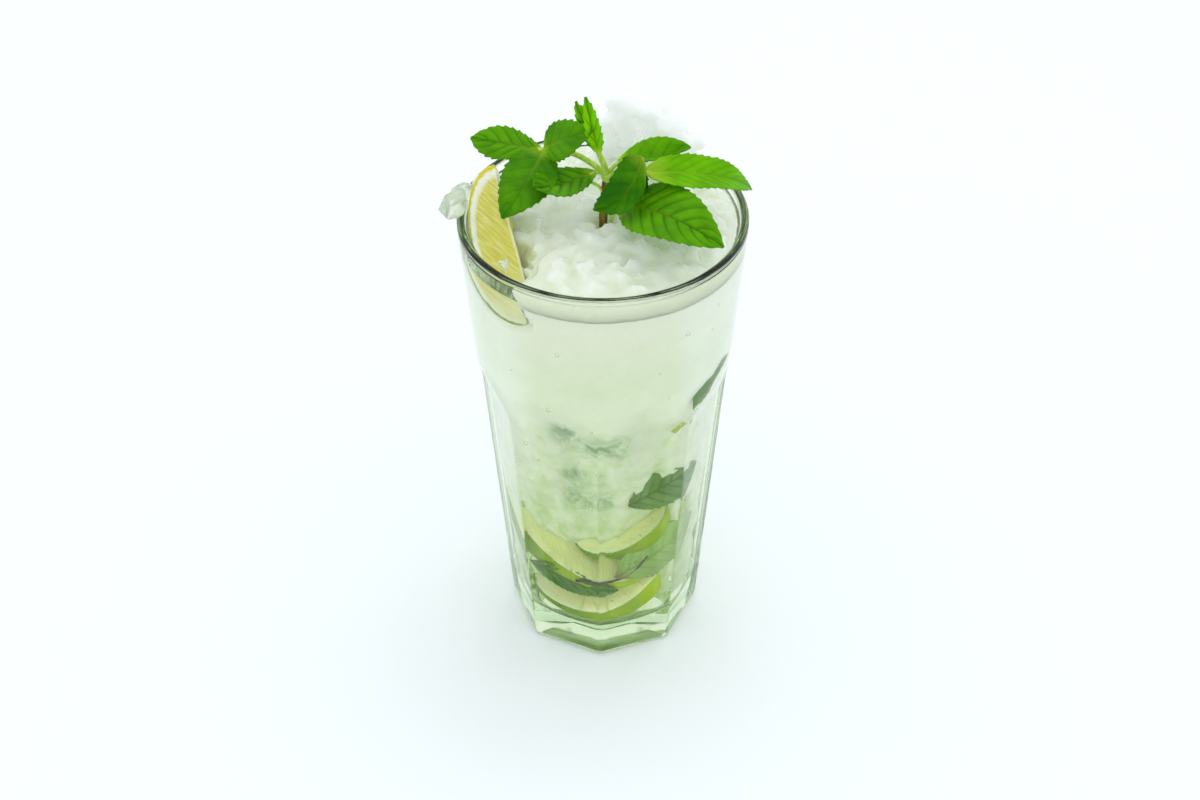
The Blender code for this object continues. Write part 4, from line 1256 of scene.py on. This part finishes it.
def leaf_into(work, shape, settings, layers):
    """Add one leaf to the bmesh: a grid laid over its folded shape, with teeth, veins and quilting."""
    axes = leaf_frame(shape)
    length = (axes[1] - axes[0]).length
    fold = math.radians(shape[6])
    veins = max(round(length / VEIN_PITCH), 3)
    grid = bmesh.ops.create_grid(work, x_segments=LEAF_COLUMNS, y_segments=LEAF_ROWS, size=1)["verts"]
    vein_layer, tone_layer, foot_layer = layers
    for vert in grid:
        across, along = vert.co.x, (vert.co.y + 1) / 2
        half = abs(across)
        width = leaf_width(shape, along)
        # teeth lean towards the tip
        saw = (along * length / TOOTH_PITCH + 0.3 * half) % 1
        tooth = settings.tooth * saw**1.5 * half**8 * min(along * 5, 1) * min((1 - along) * 8, 1)
        phase = (along - 0.24 * half**1.2) * veins + (0.35 if across > 0 else 0)
        from_vein = abs(phase - round(phase)) / veins * length * 0.75
        side_vein = math.exp(-((from_vein / VEIN_WIDTH) ** 2)) * (1 - 0.6 * half) * min(along * 6, 1)
        midrib = math.exp(-((across * width / MIDRIB_WIDTH) ** 2))
        vein = max(side_vein, midrib)
        quilt = math.sin(math.pi * phase) ** 2 * (1 - (2 * half - 1) ** 2)
        rise = settings.vein_depth * shape[8] * (1.2 * quilt - vein)
        crease = math.sqrt(half**2 + 0.01) - 0.1
        ripple = RIPPLE * math.sin(along * length / RIPPLE_PITCH + (2 if across > 0 else 0)) * half**3
        out = axes[3] * (math.copysign(1, across) * (half * width + tooth) * math.cos(fold))
        lift = axes[2] * (crease * width * math.sin(fold) + rise + ripple)
        vert.co = leaf_middle(shape, axes, along) + out + lift
        # the vein mask also carries the painted shade of the grooves into the colour
        vert[vein_layer] = vein * 0.75 * shape[8]
        vert[tone_layer] = shape[9]
        paleness = max(0, 1 - along / 0.16) * 0.8 + 0.45 * midrib * max(0, 1 - along / 0.7)
        vert[foot_layer] = paleness * min(0.35 + shape[9], 1)


def leaves_piece(name, shapes, settings, colours, *nodes):
    """All leaves of a group as one thin piece, its underside in a duller skin."""
    work = bmesh.new()
    layers = [work.verts.layers.float.new(layer) for layer in ("vein", "tone", "foot")]
    for shape in shapes.values():
        leaf_into(work, shape, settings, layers)
    lay = work.loops.layers.uv.new("lay")
    for face in work.faces:
        for loop in face.loops:
            spot = loop.vert.co
            loop[lay].uv = (spot.x + 0.3 * spot.y, spot.z + 0.8 * spot.y)
    made = placed(
        name, mesh_of(work, name),
        [mint_leaf(name + "_top", 0.38, *colours), mint_leaf(name + "_underside", 0.55, *colours)],
        "mint", *nodes,
    )
    thick = made.modifiers.new("thickness", "SOLIDIFY")
    thick.thickness = LEAF_THICKNESS
    thick.offset = 0
    thick.material_offset = 1
    thick.use_even_offset = False
    return applied(made)


class DRINK_OT_sunk_mint(bpy.types.Operator):
    """Sink mint leaves and bits of stem in the drink"""

    bl_idname = "drink.sunk_mint"
    bl_label = "Sunk mint"

    def execute(self, context):
        settings = context.scene.drink_mint
        kept_in(leaves_piece("sunk_mint_leaves", SUNK_LEAVES, settings, (
            settings.sodden_dark, settings.sodden_pale, settings.sodden_rib,
        )).data, GAP)
        stalks = {
            "brown": mint_stalk("brown_stalk", linear("4A4030"), linear("7A6A50")),
            "yellow": mint_stalk("yellow_stalk", linear("A8B83A"), linear("CCD45A")),
        }
        for name, (points, start, end) in SUNK_STEMS.items():
            mesh = tube("sunk_stem_" + name, points, start, end)
            kept_in(mesh, GAP)
            placed("sunk_stem_" + name, mesh, [stalks[name]], "mint")
        return {"FINISHED"}


class DRINK_OT_mint_leaves(bpy.types.Operator):
    """Grow the leaves of the sprig"""

    bl_idname = "drink.mint_leaves"
    bl_label = "Mint leaves"

    def execute(self, context):
        settings = context.scene.drink_mint
        colours = (settings.dark, settings.bright, settings.stalk)
        leaves_piece("mint_leaves", LEAVES, settings, colours, "mint_sprig")
        return {"FINISHED"}


def tube(name, points, start_radius, end_radius):
    """The mesh of a round stem that tapers along a smooth line through the points."""
    curve = bpy.data.curves.new(name, "CURVE")
    curve.dimensions = "3D"
    curve.bevel_depth = MM
    curve.bevel_resolution = 4
    curve.resolution_u = 8
    curve.use_fill_caps = True
    spline = curve.splines.new("BEZIER")
    spline.bezier_points.add(len(points) - 1)
    for index, (knot, point) in enumerate(zip(spline.bezier_points, points)):
        share = index / (len(points) - 1)
        knot.co = Vector(point) * MM
        knot.handle_left_type = knot.handle_right_type = "AUTO"
        knot.radius = start_radius + (end_radius - start_radius) * share
    held = bpy.data.objects.new(name, curve)
    bpy.context.scene.collection.objects.link(held)
    bpy.context.view_layer.update()
    mesh = bpy.data.meshes.new_from_object(held.evaluated_get(bpy.context.evaluated_depsgraph_get()))
    bpy.data.objects.remove(held, do_unlink=True)
    return mesh


class DRINK_OT_mint_stems(bpy.types.Operator):
    """Grow the stems of the sprig"""

    bl_idname = "drink.mint_stems"
    bl_label = "Mint stems"

    def execute(self, context):
        work = bmesh.new()
        for name, (points, start, end) in STEMS.items():
            mesh = tube(name, points, start, end)
            work.from_mesh(mesh)
            bpy.data.meshes.remove(mesh)
        knuckle = bmesh.ops.create_icosphere(work, subdivisions=3, radius=JOINT_RADIUS)["verts"]
        bmesh.ops.translate(work, vec=Vector(JOINT) * MM, verts=knuckle)
        outwards(work)
        pale = mint_stalk("young_stalk", linear("9CC63A"), linear("C6E26A"))
        placed("mint_stems", mesh_of(work, "mint_stems"), [pale], "mint")
        woody = mint_stalk("woody_stalk", linear("5E4A22"), linear("9A8A3C"))
        placed("mint_main_stem", tube("mint_main_stem", *MAIN_STEM), [woody], "mint")
        return {"FINISHED"}


class DRINK_OT_bubbles(bpy.types.Operator):
    """Set small bubbles against the wall"""

    bl_idname = "drink.bubbles"
    bl_label = "Bubbles"

    def execute(self, context):
        settings = context.scene.drink_liquid
        rng = random.Random(BUBBLE_SEED)
        work = bmesh.new()
        for _ in range(settings.bubbles):
            height = rng.uniform(*BUBBLE_HEIGHTS) * MM
            angle = rng.uniform(0, math.tau)
            radius = settings.bubble_radius * rng.uniform(0.3, 1) ** 2
            out = cavity_radius(height) - radius - 0.15 * MM
            ball = bmesh.ops.create_icosphere(work, subdivisions=2, radius=radius)["verts"]
            bmesh.ops.translate(work, vec=(out * math.cos(angle), out * math.sin(angle), height), verts=ball)
        # air in the drink bends light the other way, so its IOR is one over the drink's
        air, *_ = surface(
            "trapped_air", Base_Color=linear("FFFFFF"), Roughness=0.0, IOR=1 / 1.34, Transmission_Weight=1.0,
        )
        placed("bubbles", mesh_of(work, "bubbles"), [air], "lime_drink")
        return {"FINISHED"}


class DRINK_OT_stage(bpy.types.Operator):
    """Set the floor, the soft light and the camera"""

    bl_idname = "drink.stage"
    bl_label = "Stage"

    def execute(self, context):
        settings = context.scene.drink_stage
        scene = context.scene
        work = bmesh.new()
        bmesh.ops.create_grid(work, x_segments=1, y_segments=1, size=FLOOR_HALF)
        # just clear of the glass, whose underside would otherwise share its plane
        bmesh.ops.translate(work, vec=(0, 0, -FLOOR_DROP), verts=work.verts)
        floor = bpy.data.objects.new("floor", mesh_of(work, "floor"))
        scene.collection.objects.link(floor)
        paper, *_ = surface(
            "matt_paper", Base_Color=colour_of(settings.floor), Roughness=0.9, Specular_IOR_Level=0.1,
        )
        floor.data.materials.append(paper)

        world = bpy.data.worlds.new("studio")
        world.use_nodes = True
        backdrop = world.node_tree.nodes["Background"]
        backdrop.inputs["Color"].default_value = linear("FAFEFF")
        backdrop.inputs["Strength"].default_value = settings.sky
        scene.world = world

        lamp = bpy.data.lights.new("softbox", "AREA")
        lamp.shape = "RECTANGLE"
        lamp.size, lamp.size_y = SOFTBOX_SIZE
        lamp.energy = settings.lamp
        softbox = bpy.data.objects.new("softbox", lamp)
        softbox.matrix_world = (
            Matrix.Translation(SOFTBOX_PLACE)
            @ Matrix.Rotation(math.radians(SOFTBOX_TURN[0]), 4, "X")
            @ Matrix.Rotation(math.radians(SOFTBOX_TURN[1]), 4, "Y")
        )
        scene.collection.objects.link(softbox)

        lens = bpy.data.cameras.new("camera")
        lens.lens = settings.lens
        lens.sensor_width = 36
        lens.clip_start, lens.clip_end = 0.01, 20
        camera = bpy.data.objects.new("camera", lens)
        camera.matrix_world = (
            Matrix.Translation(CAMERA_PLACE)
            @ Matrix.Rotation(math.radians(CAMERA_TURN[0]), 4, "X")
            @ Matrix.Rotation(math.radians(CAMERA_TURN[1]), 4, "Z")
        )
        scene.collection.objects.link(camera)
        scene.camera = camera
        scene.view_settings.view_transform = "Standard"
        # light has to find its way through glass, drink and ice
        scene.cycles.max_bounces = 64
        scene.cycles.transmission_bounces = 64
        scene.cycles.diffuse_bounces = 8
        scene.cycles.glossy_bounces = 8
        scene.cycles.blur_glossy = 0
        return {"FINISHED"}


class DRINK_PT_panel(bpy.types.Panel):
    """Lists the pieces of the drink"""

    bl_idname = "DRINK_PT_panel"
    bl_label = "Long drink"
    bl_space_type = "VIEW_3D"
    bl_region_type = "UI"
    bl_category = "Long drink"

    def draw(self, context):
        for name, operators in PIECES.items():
            box = self.layout.box()
            group = getattr(context.scene, "drink_" + name)
            for field in group.__annotations__:
                box.prop(group, field)
            for operator in operators:
                box.operator(operator)


GROUPS = {
    "tumbler": TumblerSettings,
    "liquid": DrinkSettings,
    "ice": IceSettings,
    "lime": LimeSettings,
    "mint": MintSettings,
    "stage": StageSettings,
}
PIECES = {
    "tumbler": ["drink.tumbler"],
    "liquid": ["drink.liquid", "drink.sunk_ice", "drink.bubbles"],
    "ice": ["drink.ice_heap"],
    "lime": ["drink.rim_lime", "drink.sunk_limes"],
    "mint": ["drink.mint_leaves", "drink.mint_stems", "drink.sunk_mint"],
    "stage": ["drink.stage"],
}
OPERATORS = (
    DRINK_OT_tumbler, DRINK_OT_liquid, DRINK_OT_sunk_ice, DRINK_OT_bubbles, DRINK_OT_ice_heap,
    DRINK_OT_rim_lime, DRINK_OT_sunk_limes, DRINK_OT_mint_leaves, DRINK_OT_mint_stems, DRINK_OT_sunk_mint,
    DRINK_OT_stage,
)


def register():
    """Register the settings, operators and panel."""
    for name, group in GROUPS.items():
        bpy.utils.register_class(group)
        setattr(bpy.types.Scene, "drink_" + name, PointerProperty(type=group))
    for made in (*OPERATORS, DRINK_PT_panel):
        bpy.utils.register_class(made)


def unregister():
    """Undo register."""
    for made in (DRINK_PT_panel, *OPERATORS[::-1]):
        bpy.utils.unregister_class(made)
    for name, group in GROUPS.items():
        delattr(bpy.types.Scene, "drink_" + name)
        bpy.utils.unregister_class(group)


def main():
    """Build every piece in order."""
    register()
    for operators in PIECES.values():
        for name in operators:
            family, action = name.split(".")
            getattr(getattr(bpy.ops, family), action)()


if __name__ == "__main__":
    main()
